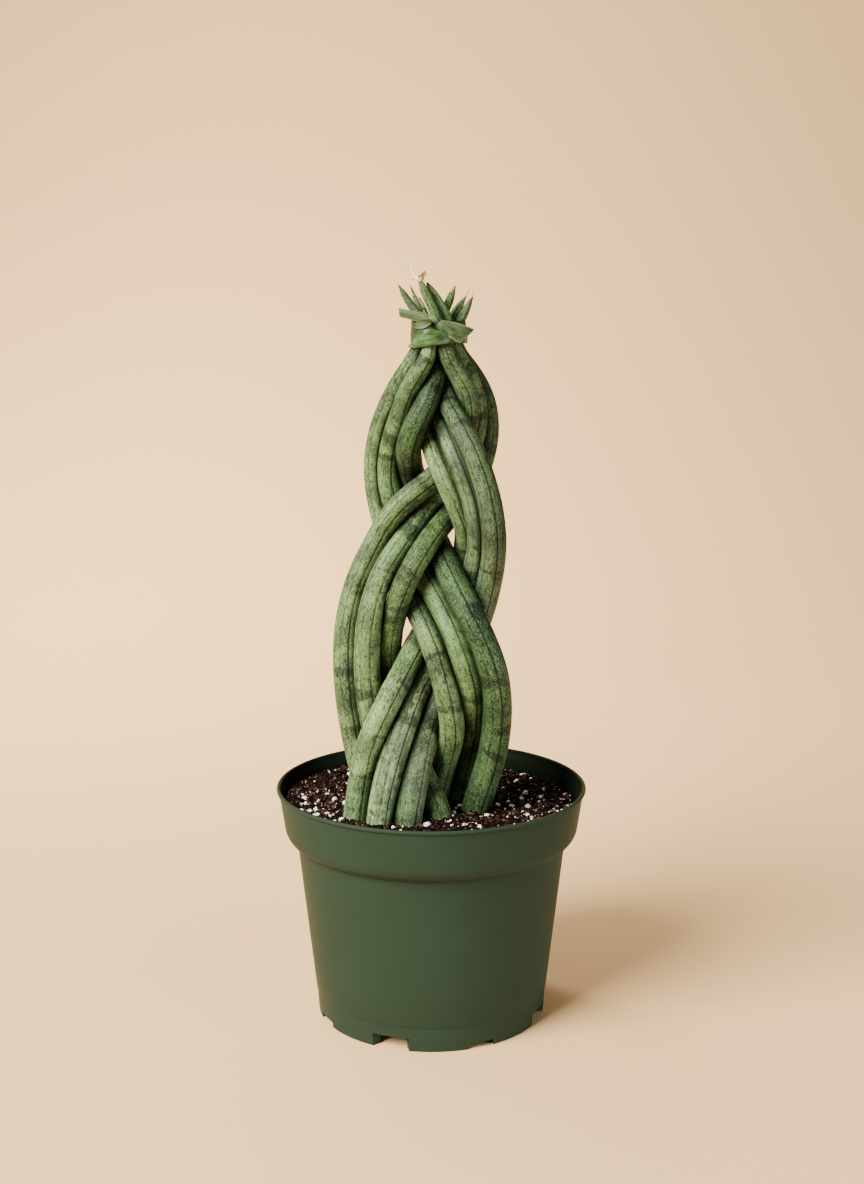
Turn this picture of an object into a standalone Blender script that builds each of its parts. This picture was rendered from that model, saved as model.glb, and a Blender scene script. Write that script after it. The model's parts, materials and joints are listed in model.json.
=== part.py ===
"""A braided cylindrical snake plant in its nursery pot.

Nine round, tapering leaves stand in the soil and are plaited in three strands of three. A flat
strip of leaf ties them at the neck, and their pointed tips fan out above it. The pot is a thin
moulded one with a rolled lip, a collar band and a notched foot.

+Z is up, and the origin is on the pot's axis, on the surface that the pot stands on. -Y is the
front. Lengths are in millimetres until a shape is built, where MM turns them into metres.
"""

import itertools
import math

import bmesh
import bpy
import numpy as np
from mathutils import Matrix, Vector

MM = 0.001
GAP = 0.3  # kept between neighbouring solids

# Pot: radii of the outer face, and heights above the surface
POT_SIDES = 48
RIM_RADIUS = 76.0
BEAD_RADIUS = 2.1
POT_HEIGHT = 115.0
COLLAR_TOP_RADIUS = 73.8
COLLAR_FOOT = (72.2, 95.5)
BODY_TOP = (66.1, 87.5)
FOOT_LINE = (57.6, 12.6)
FOOT_STEP = 0.35
FOOT_RADIUS = 56.4
WALL = 1.2
FLOOR_ROUND = 2.0
FLOOR_UNDER = 7.0
FLOOR_TOP = 8.5
NOTCH_COUNT = 4
POCKET_ANGLE = -20.0
POCKET_WIDTH = 21.0
POCKET_DEPTH = 4.0
POCKET_HEIGHT = 8.0
OPENING_WIDTH = 14.0
OPENING_HEIGHT = 6.4
SHALLOW_ANGLE = 25.0
SHALLOW_WIDTH = 13.5
SHALLOW_HEIGHT = 2.8

# Soil: its level drops a little towards the back and the right
SOIL_LEVEL = 107.4
SOIL_SLOPE = (-0.030, -0.012)
SOIL_MOUND = (0.0, -24.0, 30.0, 0.7)
SOIL_GRAIN = 0.55
SOIL_RINGS = 9
SOIL_SEED = 7
HOLE_SIDES = 12
HOLE_ABOVE = 14.0
ROOT_DEPTH = 30.0
ROOT_BEND = 6.0

# Leaves: the height where each leaf is tied, and how its radius changes along it
NECK_HEIGHT = 329.5
NECK_RADIUS = 2.8
DRAWN_IN = 7.0
THICK_BELOW = 200.0
SLIM_ABOVE = 285.0
ROOT_SHARE = 0.9
GROUND_SHARE = 1.08
TIP_RADIUS = 0.35
TIP_FULLNESS = 1.9
LEAF_SIDES = 16
GROOVE_EVERY = 4
GROOVE_DEPTH = 0.05
LEAF_RINGS = 35
TIP_PLACES = (0.6, 0.3, 0.1, 0.0)

# Each leaf: its radius low down, its radius higher up, how sharp its tip is, and its route from
# the tip to the soil as (height, across, depth). In front of its neighbour, the depth is lower.
LEAVES = {
    "leaf_left_outer": (5.6, 4.9, 0.9, [
        (355.5, -9.4, -10), (348, -6.2, -11), (341, -5, -12), (334, -4.9, -12.3), (329, -5, -12),
        (323, -8.2, -10.8), (310, -16.5, -9.5), (290, -24.5, -8), (268, -27.8, -8.5),
        (246, -24, -8), (226, -16.5, -10), (207, -8, -17), (190, 1, -24), (171, 7.5, -25),
        (153, 9, -22.5), (130, 5.5, -20), (108, 1.5, -15)]),
    "leaf_left_middle": (5.8, 5.2, 0.7, [
        (356, -14.8, -16), (348, -9.8, -16.6), (340, -4, -17.2), (334, -1.4, -17.6),
        (329, -0.4, -17), (323, -1.4, -14.8), (310, -8.5, -11.5), (296, -14.5, -10.5),
        (280, -18.6, -11), (267, -19.2, -11), (250, -16.5, -8.5), (232, -8.5, -9.5),
        (219, -1.5, -16.5), (202, 8.5, -23.5), (185, 15.8, -24), (166, 19.6, -22.5),
        (142, 18, -20.5), (108, 11, -13.5)]),
    "leaf_left_inner": (6.5, 5.8, 0.7, [
        (356, 11, -9), (348, 8, -10), (340, 4.4, -11.2), (334, 2, -11.8), (325, 3.8, -11),
        (315, 2.4, -9), (304, -2, -11), (292, -7, -13), (278, -9.6, -13), (262, -7.8, -9),
        (247, -1.5, -8.5), (230, 6.5, -15), (213, 15.5, -22), (193, 25, -23.5), (176, 30, -23),
        (160, 31.4, -22), (137, 29.5, -20.5), (108, 21, -15)]),
    "leaf_right_inner": (5.8, 5.5, 0.42, [
        (358.5, -5.3, -17), (348, -0.3, -17), (341, 3, -17.4), (334, 4.9, -17.7),
        (327, 6.2, -17.7), (315, 11.2, -17), (300, 16, -13), (287, 16, -8), (272, 6.5, -7.5),
        (257, -11, -18.5), (243, -21, -20), (226, -32, -19), (205, -39, -17.5),
        (180, -41.2, -19.5), (155, -39, -19.5), (130, -34, -20.5), (108, -27, -25)]),
    "leaf_right_middle": (5.9, 5.0, 0.55, [
        (357.5, -2, -13.5), (348, 4, -13.3), (340, 8, -13.1), (334, 9, -13), (328, 10.2, -12.8),
        (322, 13.6, -12.4), (314, 18.8, -11.5), (296, 22.6, -7.5), (279, 18.6, -5.5),
        (265, 9.8, -9), (251, -3.8, -19), (238, -14, -20.5), (220, -24.1, -19.5),
        (197, -29.6, -22), (173, -30.2, -23.5), (150, -27, -21), (125, -19.5, -20),
        (108, -13, -25)]),
    "leaf_right_outer": (5.9, 4.8, 0.7, [
        (351, 19.2, -7), (345, 16.4, -7), (340, 13.2, -7), (334, 11.2, -7), (329, 11.3, -6.6),
        (323, 15.2, -5.6), (315, 21.6, -4.5), (300, 27.4, -2.5), (283, 27.6, -2.5),
        (267, 22.5, -4), (252, 10.5, -11), (238, -1.6, -20), (220, -12, -21.5), (202, -18, -20),
        (180, -20.2, -18.5), (158, -17.6, -16), (138, -9.7, -18), (120, -0.5, -25),
        (106, 4.7, -34)]),
    "leaf_back_inner": (5.7, 5.0, 0.7, [
        (351, -5.6, -4.6), (343, -2.8, -5.8), (334, -1.8, -6.4), (318, -5.6, -3),
        (303, -6.7, -3), (288, -2.4, -10), (272, 5, -15.5), (257, 11.2, -12.5), (238, 13.7, -10),
        (224, 13, -9), (207, 6.5, -11.5), (189, -5.8, -19), (173, -15.5, -25.5), (153, -25, -28),
        (131, -31.8, -32.5), (108, -35.8, -41.5)]),
    "leaf_back_middle": (5.7, 5.1, 0.7, [
        (352, 0.6, -3), (343, 1.4, -1.8), (334, 1.7, -1), (318, 1, 0), (304, 1, -3.5),
        (288, 7, -14.5), (270, 15.6, -19), (252, 20.8, -19), (235, 21.8, -18),
        (218, 19.4, -14.5), (200, 13.2, -12), (182, 3.2, -16), (165, -7.4, -25),
        (147, -15.2, -28), (128, -20.6, -34), (108, -24.5, -42)]),
    "leaf_back_outer": (6.0, 5.3, 0.7, [
        (351, 16, -3), (345, 12.2, -4), (340, 8.4, -5.2), (334, 5, -6.2), (320, 5.8, -2),
        (308, 6.2, -6), (295, 13, -17), (278, 21.4, -23), (262, 26.9, -26), (243, 29.1, -26),
        (222, 27.6, -22), (205, 23.9, -16), (188, 17, -13), (170, 8.5, -16), (155, 0, -23),
        (140, -5.3, -28.5), (122, -9.2, -34), (108, -11.3, -42.5)]),
}

# Relaxing the plait: the traced route is held from the front, and mostly the depth gives way
RELAX_STEPS = 320
RELAX_SPLIT = 3
RELAX_SHARE = (0.35, 1.0, 0.0)
RELAX_HOLD = 0.28
TIED_HOLD = 0.5
TIED_BELOW = 6.0
RELAX_SMOOTH = 0.12
RELAX_STIFF = 0.4
LEAF_CLEARANCE = 0.85

# Tie: two flat turns round the neck, a knot in front and two tails. Each turn has its middle
# height, its tilt and how far it lies outside the leaves' outline.
TIE_HALF_WIDTH = 3.9
TIE_SPAN = (328.6, 340.0)
TIE_THICKNESS = 0.9
TIE_SLACK = 0.15
TIE_POINTS = 36
NECK_CENTRE = (3.0, -9.0)
TIE_TURNS = ((336.2, -0.06, 0.0), (332.0, 0.07, 0.6))
KNOT_PLACE = (0.6, 338.0)
KNOT_SIZE = (3.4, 2.2, 3.2)
KNOT_AHEAD = 0.8
KNOT_REACH = 3.0
TAIL_STEPS = 8
# Each tail: points of its middle line from the knot as (across, height, depth in front of the
# leaves), and its half widths at both ends
TIE_TAILS = (
    ([(0.8, 339.4, 1.4), (-5.0, 341.0, 1.8), (-10.0, 342.6, 1.2), (-15.0, 344.2, 1.6)], (1.6, 2.2)),
    ([(1.5, 338.0, 1.4), (6.0, 337.0, 2.4), (12.0, 335.2, 1.4), (18.2, 333.0, -1.2)], (2.2, 4.0)),
)

POT_COLOUR = (0.070, 0.105, 0.052, 1.0)
SOIL_COLOUR = (0.020, 0.012, 0.008, 1.0)
LEAF_COLOUR = (0.150, 0.250, 0.085, 1.0)
TIE_COLOUR = (0.120, 0.230, 0.050, 1.0)


def clear_scene():
    for obj in list(bpy.data.objects):
        bpy.data.objects.remove(obj, do_unlink=True)


def new_collection(name):
    collection = bpy.data.collections.new(name)
    bpy.context.scene.collection.children.link(collection)
    return collection


def new_material(name, colour, roughness):
    material = bpy.data.materials.new(name)
    material.use_nodes = True
    shader = material.node_tree.nodes["Principled BSDF"]
    shader.inputs["Base Color"].default_value = colour
    shader.inputs["Roughness"].default_value = roughness
    shader.inputs["Metallic"].default_value = 0.0
    return material


def add_object(name, data, collection, material=None):
    obj = bpy.data.objects.new(name, data)
    collection.objects.link(obj)
    if material:
        data.materials.append(material)
    return obj


def hide_helper(obj):
    obj.hide_render = True
    obj.display_type = "WIRE"


def apply_modifiers(obj):
    """Replaces the object's mesh with what its modifiers make of it."""
    graph = bpy.context.evaluated_depsgraph_get()
    mesh = bpy.data.meshes.new_from_object(obj.evaluated_get(graph))
    obj.modifiers.clear()
    obj.data = mesh


def shade_round(mesh, sharp_degrees):
    mesh.shade_smooth()
    mesh.set_sharp_from_angle(angle=math.radians(sharp_degrees))


def turned(name, profile, collection, material=None):
    """Turns a profile of (radius, height) points about Z. It starts and ends on the axis."""
    mesh = bpy.data.meshes.new(name)
    points = [(radius * MM, 0.0, height * MM) for radius, height in profile]
    mesh.from_pydata(points, [(i, i + 1) for i in range(len(points) - 1)], [])
    obj = add_object(name, mesh, collection, material)
    screw = obj.modifiers.new("Turn", "SCREW")
    screw.steps = POT_SIDES
    screw.render_steps = POT_SIDES
    screw.use_merge_vertices = True
    screw.merge_threshold = 0.00001
    apply_modifiers(obj)
    return obj


def body_radius(height):
    """Radius of the pot's outer face on the straight body between foot line and collar."""
    (top_radius, top), (low_radius, low) = BODY_TOP, FOOT_LINE
    return low_radius + (top_radius - low_radius) * (height - low) / (top - low)


def collar_curve(shrink):
    """The rounded shoulder under the collar band, from the band down to the body."""
    start = Vector((COLLAR_FOOT[0] - shrink, COLLAR_FOOT[1]))
    end = Vector((BODY_TOP[0] - shrink, BODY_TOP[1]))
    corner = Vector((start.x - 0.6, end.y + 2.6))
    points = []
    for share in (0.0, 0.4, 0.7, 1.0):
        point = start * (1 - share) ** 2 + corner * 2 * share * (1 - share) + end * share ** 2
        points.append((point.x, point.y))
    return points


def pot_profile():
    bead_centre = (RIM_RADIUS - BEAD_RADIUS, POT_HEIGHT - BEAD_RADIUS)
    bead = []
    for degrees in (185, 135, 90, 45, 0, -50):
        turn = math.radians(degrees)
        bead.append((bead_centre[0] + BEAD_RADIUS * math.cos(turn),
                     bead_centre[1] + BEAD_RADIUS * math.sin(turn)))
    corner = body_radius(FLOOR_TOP) - WALL
    inside = [(0.0, FLOOR_TOP), (corner - FLOOR_ROUND, FLOOR_TOP),
              (corner + 0.1, FLOOR_TOP + FLOOR_ROUND)]
    inside += list(reversed(collar_curve(WALL)))
    inside.append((COLLAR_TOP_RADIUS - WALL - 0.4, POT_HEIGHT - 2 * BEAD_RADIUS))
    outside = [(COLLAR_TOP_RADIUS, POT_HEIGHT - 2 * BEAD_RADIUS - 0.6)]
    outside += collar_curve(0.0)
    outside += [FOOT_LINE, (FOOT_LINE[0] - FOOT_STEP, FOOT_LINE[1] - 0.5), (FOOT_RADIUS, 0.0),
                (FOOT_RADIUS - WALL - 0.3, 0.0), (FOOT_RADIUS - WALL, FLOOR_UNDER),
                (0.0, FLOOR_UNDER)]
    return inside + bead + outside


def wedge(name, out_width, in_width, depth_range, height_range, angle, collection):
    """A block across the foot at an angle from the front, as wide as given outside and inside."""
    near, far = depth_range
    low, high = height_range
    mesh = bpy.data.meshes.new(name)
    shape = bmesh.new()
    bmesh.ops.create_cube(shape, size=1.0)
    for vertex in shape.verts:
        outer = vertex.co.y < 0
        width = out_width if outer else in_width
        vertex.co = Vector((vertex.co.x * width, -far if outer else -near,
                            high if vertex.co.z > 0 else low)) * MM
    bmesh.ops.transform(shape, matrix=Matrix.Rotation(math.radians(angle), 4, "Z"),
                        verts=shape.verts)
    shape.to_mesh(mesh)
    shape.free()
    obj = add_object(name, mesh, collection)
    hide_helper(obj)
    return obj


def cut_or_join(obj, operation, collection):
    boolean = obj.modifiers.new(operation.title(), "BOOLEAN")
    boolean.operation = operation
    boolean.operand_type = "COLLECTION"
    boolean.collection = collection
    boolean.solver = "EXACT"
    apply_modifiers(obj)


def remove_collection(collection):
    for obj in list(collection.objects):
        bpy.data.objects.remove(obj, do_unlink=True)
    bpy.data.collections.remove(collection)


def make_pot(collection, material):
    pot = turned("pot", pot_profile(), collection, material)
    bosses = new_collection("foot bosses")
    cutters = new_collection("foot cutters")
    inner_face = FOOT_RADIUS - POCKET_DEPTH
    for turn in range(NOTCH_COUNT):
        deep = POCKET_ANGLE + turn * 360 / NOTCH_COUNT
        shallow = SHALLOW_ANGLE + turn * 360 / NOTCH_COUNT
        wedge("boss", POCKET_WIDTH + 3.0, POCKET_WIDTH, (inner_face - 2.4, FOOT_RADIUS - 1.4),
              (0.0, FLOOR_UNDER + 0.4), deep, bosses)
        wedge("pocket", POCKET_WIDTH + 1.6, OPENING_WIDTH + 0.6, (inner_face, FOOT_RADIUS + 3.0),
              (-1.0, POCKET_HEIGHT - 1.4), deep, cutters)
        wedge("opening", OPENING_WIDTH, OPENING_WIDTH, (inner_face - 4.0, inner_face + 2.0),
              (-1.0, OPENING_HEIGHT - 0.6), deep, cutters)
        wedge("drain", OPENING_WIDTH - 3, OPENING_WIDTH - 3, (inner_face - 9.5, inner_face - 4.2),
              (FLOOR_UNDER - 1.0, FLOOR_TOP + 1.0), deep, cutters)
        wedge("shallow", SHALLOW_WIDTH, SHALLOW_WIDTH, (FOOT_RADIUS - 6.0, FOOT_RADIUS + 4.0),
              (-1.0, SHALLOW_HEIGHT), shallow, cutters)
    cut_or_join(pot, "UNION", bosses)
    cut_or_join(pot, "DIFFERENCE", cutters)
    remove_collection(bosses)
    remove_collection(cutters)
    shade_round(pot.data, 32)
    return pot


def smooth_through(knots, heights):
    """Values at the heights of a smooth curve through knots of (height, value)."""
    knots = sorted(knots)
    at = np.array([knot[0] for knot in knots], float)
    value = np.array([knot[1] for knot in knots], float)
    slope = np.gradient(value, at)
    index = np.clip(np.searchsorted(at, heights) - 1, 0, len(at) - 2)
    span = at[index + 1] - at[index]
    t = (heights - at[index]) / span
    start = (2 * t ** 3 - 3 * t ** 2 + 1) * value[index]
    start += (t ** 3 - 2 * t ** 2 + t) * span * slope[index]
    end = (3 * t ** 2 - 2 * t ** 3) * value[index + 1]
    end += (t ** 3 - t ** 2) * span * slope[index + 1]
    return start + end


def spread(points, shares):
    """The points at the given shares of the length of a line."""
    steps = np.linalg.norm(np.diff(points, axis=0), axis=1)
    along = np.concatenate([[0.0], np.cumsum(steps)])
    at = np.asarray(shares) * along[-1]
    return np.stack([np.interp(at, along, points[:, axis]) for axis in range(3)], axis=1)


def leaf_path(route):
    """Evenly spaced points of a leaf's middle line, from its buried end to its tip.

    Below the soil the leaf soon runs straight down.
    """
    tip, ground = route[0][0], route[-1][0]
    heights = np.linspace(ground, tip, 400)
    across = smooth_through([(z, x) for z, x, _ in route], heights)
    depth = smooth_through([(z, y) for z, _, y in route], heights)
    above = np.stack([across, depth, heights], axis=1)
    lean = (above[8] - above[0]) / (above[8, 2] - above[0, 2])
    drop = np.linspace(ROOT_DEPTH, 0.5, 24)[:, None]
    fade = ROOT_BEND * (1 - np.exp(-drop / ROOT_BEND))
    below = above[0] - np.concatenate([lean[:2] * fade, drop], axis=1)
    return spread(np.concatenate([below, above]), np.linspace(0, 1, LEAF_RINGS))


def closer_at_tip(points):
    """The points with more of them on the last stretch, so that the tip has its shape."""
    last = len(points) - 1
    places = np.concatenate([np.arange(last), last - np.array(TIP_PLACES)])
    return np.stack([np.interp(places, np.arange(last + 1), points[:, axis])
                     for axis in range(points.shape[1])], axis=1)


def leaf_radii(points, low_radius, high_radius, sharpness):
    """Thick near the soil, slimmer above, drawn in at the neck, and pointed past it."""
    height = points[:, 2]
    ground, tip = SOIL_LEVEL, height.max()
    knots = [(ground - ROOT_DEPTH, low_radius * ROOT_SHARE), (ground, low_radius * GROUND_SHARE),
             (THICK_BELOW, low_radius), (SLIM_ABOVE, high_radius),
             (NECK_HEIGHT - DRAWN_IN, (high_radius + NECK_RADIUS) / 2),
             (NECK_HEIGHT, NECK_RADIUS)]
    at, radius = np.array(knots).T
    girth = np.interp(height, at, radius)
    past = np.clip((height - NECK_HEIGHT) / (tip - NECK_HEIGHT), 0, 1)
    return np.maximum(girth * (1 - past ** TIP_FULLNESS) ** sharpness, TIP_RADIUS)


def between_rings(count):
    """Weights that give RELAX_SPLIT points on each stretch between a leaf's rings."""
    at = np.linspace(0, count - 1, (count - 1) * RELAX_SPLIT + 1)
    before = np.minimum(at.astype(int), count - 2)
    rows = np.arange(len(at))
    weights = np.zeros((len(at), count))
    weights[rows, before] = 1 - (at - before)
    weights[rows, before + 1] = at - before
    return weights


def push_apart(lines, radii):
    """How far each point of each leaf goes from the neighbour that it overlaps most."""
    move = np.zeros_like(lines)
    most = np.zeros(lines.shape[:2])
    rows = np.arange(lines.shape[1])
    for a, b in itertools.combinations(range(len(lines)), 2):
        apart = lines[a][:, None] - lines[b][None]
        overlap = radii[a][:, None] + radii[b][None] + LEAF_CLEARANCE
        overlap -= np.linalg.norm(apart, axis=2)
        if overlap.max() <= 0:
            continue
        for leaf, lap, way in ((a, overlap, apart), (b, overlap.T, -apart.swapaxes(0, 1))):
            nearest = lap.argmax(axis=1)
            worst = lap[rows, nearest]
            direction = way[rows, nearest]
            direction /= np.linalg.norm(direction, axis=1)[:, None]
            stronger = worst > most[leaf]
            move[leaf][stronger] = direction[stronger] * worst[stronger, None] / 2
            most[leaf] = np.maximum(most[leaf], worst)
    return move


def relax(paths, radii):
    """Moves the leaves apart until none crosses another, mostly in depth.

    The leaves stay smooth and stiff, and seen from the front each is drawn back to its route.
    """
    weights = between_rings(paths.shape[1])
    back = weights.T / (weights ** 2).sum(axis=0)[:, None]
    girths = radii @ weights.T
    route = paths[..., 0].copy()
    tied = paths[..., 2] > NECK_HEIGHT - TIED_BELOW
    hold = np.where(tied, TIED_HOLD, RELAX_HOLD)
    for step in range(RELAX_STEPS):
        fade = 1 - step / RELAX_STEPS
        moves = push_apart(weights @ paths, girths)
        paths = paths + (back @ moves) * RELAX_SHARE
        flat = paths[..., :2]
        straight = (flat[:, :-2] + flat[:, 2:]) / 2 - flat[:, 1:-1]
        fair = (4 * (flat[:, 1:-3] + flat[:, 3:-1]) - flat[:, :-4] - flat[:, 4:]) / 6
        fair -= flat[:, 2:-2]
        flat[:, 1:-1] += RELAX_SMOOTH * fade * straight
        flat[:, 2:-2] += RELAX_STIFF * (0.15 + 0.85 * fade) * fair
        flat[..., 0] += hold * (fade + (1 - fade) * tied) * (route - flat[..., 0])
    paths[:, 0, :2] = paths[:, 1, :2]
    return paths


def leaf_section(collection):
    """The cross-section that every leaf is swept with: a circle with shallow grooves."""
    curve = bpy.data.curves.new("leaf section", "CURVE")
    curve.dimensions = "2D"
    spline = curve.splines.new("POLY")
    spline.points.add(LEAF_SIDES - 1)
    for i, point in enumerate(spline.points):
        turn = 2 * math.pi * i / LEAF_SIDES
        radius = MM * (1 - GROOVE_DEPTH * (i % GROOVE_EVERY == 0))
        point.co = (radius * math.cos(turn), radius * math.sin(turn), 0.0, 1.0)
    spline.use_cyclic_u = True
    section = add_object("leaf section", curve, collection)
    hide_helper(section)
    return section


def swept(name, points, radii, collection, section=None):
    """A tapering round bar along the points, as a curve object."""
    curve = bpy.data.curves.new(name, "CURVE")
    curve.dimensions = "3D"
    curve.use_fill_caps = True
    curve.resolution_u = 1
    if section:
        curve.bevel_mode = "OBJECT"
        curve.bevel_object = section
    else:
        curve.bevel_depth = MM
        curve.bevel_resolution = (HOLE_SIDES - 4) // 2
    spline = curve.splines.new("POLY")
    spline.points.add(len(points) - 1)
    for point, place, radius in zip(spline.points, points, radii):
        point.co = (*(place * MM), 1.0)
        point.radius = radius
    return add_object(name, curve, collection)


def as_mesh(obj, material=None):
    """The curve object's solid as a mesh object with its caps joined on. The curve goes."""
    name, collection = obj.name, obj.users_collection[0]
    graph = bpy.context.evaluated_depsgraph_get()
    mesh = bpy.data.meshes.new_from_object(obj.evaluated_get(graph))
    shape = bmesh.new()
    shape.from_mesh(mesh)
    bmesh.ops.remove_doubles(shape, verts=shape.verts, dist=0.00001)
    bmesh.ops.recalc_face_normals(shape, faces=shape.faces)
    shape.to_mesh(mesh)
    shape.free()
    bpy.data.objects.remove(obj, do_unlink=True)
    return add_object(name, mesh, collection, material)


def soil_height(x, y):
    """Level of the soil at a place: a slope, a low mound round the plant, and its lumps."""
    mound_x, mound_y, reach, rise = SOIL_MOUND
    away = np.hypot(x - mound_x, y - mound_y)
    lumps = np.sin(0.31 * x + 1.3) * np.cos(0.27 * y) + 0.6 * np.sin(0.53 * x - 0.41 * y)
    slope = SOIL_SLOPE[0] * x + SOIL_SLOPE[1] * y
    return SOIL_LEVEL + slope + rise * np.exp(-(away / reach) ** 2) + 0.35 * lumps


def make_soil(collection, material, paths, radii):
    wall = WALL + GAP
    low = FLOOR_TOP + GAP
    rim = (COLLAR_TOP_RADIUS - wall - 1.0, SOIL_LEVEL)
    top = [(rim[0] * ring / SOIL_RINGS, SOIL_LEVEL) for ring in range(SOIL_RINGS)]
    corner = body_radius(low) - wall
    side = [rim] + collar_curve(wall + 0.1)
    side += [(corner, low + FLOOR_ROUND + 0.2), (corner - FLOOR_ROUND - 0.4, low), (0.0, low)]
    soil = turned("soil", top + side, collection, material)
    rng = np.random.default_rng(SOIL_SEED)
    for vertex in soil.data.vertices:
        if abs(vertex.co.z - SOIL_LEVEL * MM) < 1e-6:
            x, y = vertex.co.x / MM, vertex.co.y / MM
            grain = SOIL_GRAIN * rng.uniform(-1, 1)
            vertex.co.z = (soil_height(x, y) + grain) * MM
    cutters = new_collection("stem holes")
    for points, girth in zip(paths, radii):
        stem = points[:, 2] < SOIL_LEVEL + HOLE_ABOVE
        line = points[stem].copy()
        line[0, 2] -= GAP
        width = (girth[stem] + GAP) / math.cos(math.pi / HOLE_SIDES)
        as_mesh(swept("stem hole", line, width, cutters))
    for cutter in cutters.objects:
        hide_helper(cutter)
    cut_or_join(soil, "DIFFERENCE", cutters)
    remove_collection(cutters)
    shade_round(soil.data, 50)
    return soil


def hull(points):
    """The convex outline of flat points, anticlockwise."""
    ordered = sorted(map(tuple, points))
    chains = []
    for run in (ordered, ordered[::-1]):
        chain = []
        for x, y in run:
            while len(chain) > 1:
                (ax, ay), (bx, by) = chain[-2:]
                if (bx - ax) * (y - ay) - (by - ay) * (x - ax) > 0:
                    break
                chain.pop()
            chain.append((x, y))
        chains += chain[:-1]
    return np.array(chains)


def neck_outline(paths, radii, clear):
    """Where a turn lies round the tied stretch of the leaves, one point for each direction."""
    around = np.linspace(0, 2 * math.pi, 24, endpoint=False)
    circle = np.stack([np.cos(around), np.sin(around)], axis=1)
    dots = []
    for height in np.linspace(*TIE_SPAN, 12):
        for points, girth in zip(paths, radii):
            place, above = [
                np.array([np.interp(z, points[:, 2], points[:, axis]) for axis in (0, 1)])
                for z in (height, height + 1)]
            lean = math.hypot(1.0, *(above - place))
            reach = np.interp(height, points[:, 2], girth) * lean + clear
            dots.append(place + reach * circle)
    outline = hull(np.concatenate(dots)) - NECK_CENTRE
    after = np.roll(outline, -1, axis=0)
    turns = np.linspace(0, 2 * math.pi, TIE_POINTS, endpoint=False)
    points = []
    for ray in np.stack([np.cos(turns), np.sin(turns)], axis=1):
        side = outline[:, 0] * ray[1] - outline[:, 1] * ray[0]
        side_after = after[:, 0] * ray[1] - after[:, 1] * ray[0]
        ahead = (outline + after) @ ray > 0
        edge = np.flatnonzero((side >= 0) & (side_after < 0) & ahead)[0]
        share = side[edge] / (side[edge] - side_after[edge])
        points.append(outline[edge] + share * (after[edge] - outline[edge]) + NECK_CENTRE)
    return np.array(points)


def make_turn(name, outline, height, tilt, collection):
    """One flat turn: an upright ribbon along the outline, thickened to both sides."""
    mesh = bpy.data.meshes.new(name)
    shape = bmesh.new()
    low, high = [
        [shape.verts.new(Vector((x, y, height + tilt * x + lift)) * MM) for x, y in outline]
        for lift in (-TIE_HALF_WIDTH, TIE_HALF_WIDTH)]
    for i in range(TIE_POINTS):
        j = (i + 1) % TIE_POINTS
        shape.faces.new((low[i], low[j], high[j], high[i]))
    shape.to_mesh(mesh)
    shape.free()
    obj = add_object(name, mesh, collection)
    thicken(obj)
    return obj


def thicken(obj):
    solidify = obj.modifiers.new("Thickness", "SOLIDIFY")
    solidify.thickness = TIE_THICKNESS * MM
    solidify.offset = 0.0
    apply_modifiers(obj)


def make_tail(name, line, half_widths, front, collection):
    """A flat tail that widens or narrows along its middle line."""
    places = np.array([(x, front - ahead, z) for x, z, ahead in line], float)
    places = spread(places, np.linspace(0, 1, TAIL_STEPS))
    mesh = bpy.data.meshes.new(name)
    shape = bmesh.new()
    bmesh.ops.create_grid(shape, x_segments=TAIL_STEPS - 1, y_segments=1, size=1.0)
    for vertex in shape.verts:
        along = (vertex.co.x + 1) / 2
        index = min(round(along * (TAIL_STEPS - 1)), TAIL_STEPS - 1)
        ahead = places[min(index + 1, TAIL_STEPS - 1)] - places[max(index - 1, 0)]
        across = Vector((-ahead[2], 0.0, ahead[0])).normalized()
        width = half_widths[0] + (half_widths[1] - half_widths[0]) * along
        vertex.co = (Vector(places[index]) + across * width * vertex.co.y) * MM
    shape.to_mesh(mesh)
    shape.free()
    obj = add_object(name, mesh, collection)
    thicken(obj)
    return obj


def make_tie(collection, material, paths, radii):
    pieces = new_collection("tie pieces")
    clear = GAP + TIE_THICKNESS / 2 + TIE_SLACK
    across, height = KNOT_PLACE
    for middle, tilt, out in TIE_TURNS:
        outline = neck_outline(paths, radii, clear + out)
        make_turn("turn", outline, middle, tilt, pieces)
        front = outline[np.abs(outline[:, 0] - across) < KNOT_REACH, 1].min()
    for line, widths in TIE_TAILS:
        make_tail("tail", line, widths, front, pieces)
    knot = bpy.data.meshes.new("knot")
    shape = bmesh.new()
    bmesh.ops.create_uvsphere(shape, u_segments=12, v_segments=8, radius=MM)
    place = Matrix.Translation(Vector((across, front - KNOT_AHEAD, height)) * MM)
    bmesh.ops.transform(shape, matrix=place @ Matrix.Diagonal((*KNOT_SIZE, 1.0)),
                        verts=shape.verts)
    shape.to_mesh(knot)
    shape.free()
    add_object("knot", knot, pieces)
    first = pieces.objects[0]
    tie = add_object("tie", first.data.copy(), collection, material)
    bpy.data.objects.remove(first, do_unlink=True)
    for piece in pieces.objects:
        hide_helper(piece)
    cut_or_join(tie, "UNION", pieces)
    remove_collection(pieces)
    shade_round(tie.data, 40)
    return tie


def make_leaves(collection, helpers, material, paths, radii):
    section = leaf_section(helpers)
    for name, points, girth in zip(LEAVES, paths, radii):
        leaf = as_mesh(swept(name, points, girth, collection, section), material)
        shade_round(leaf.data, 60)


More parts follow.
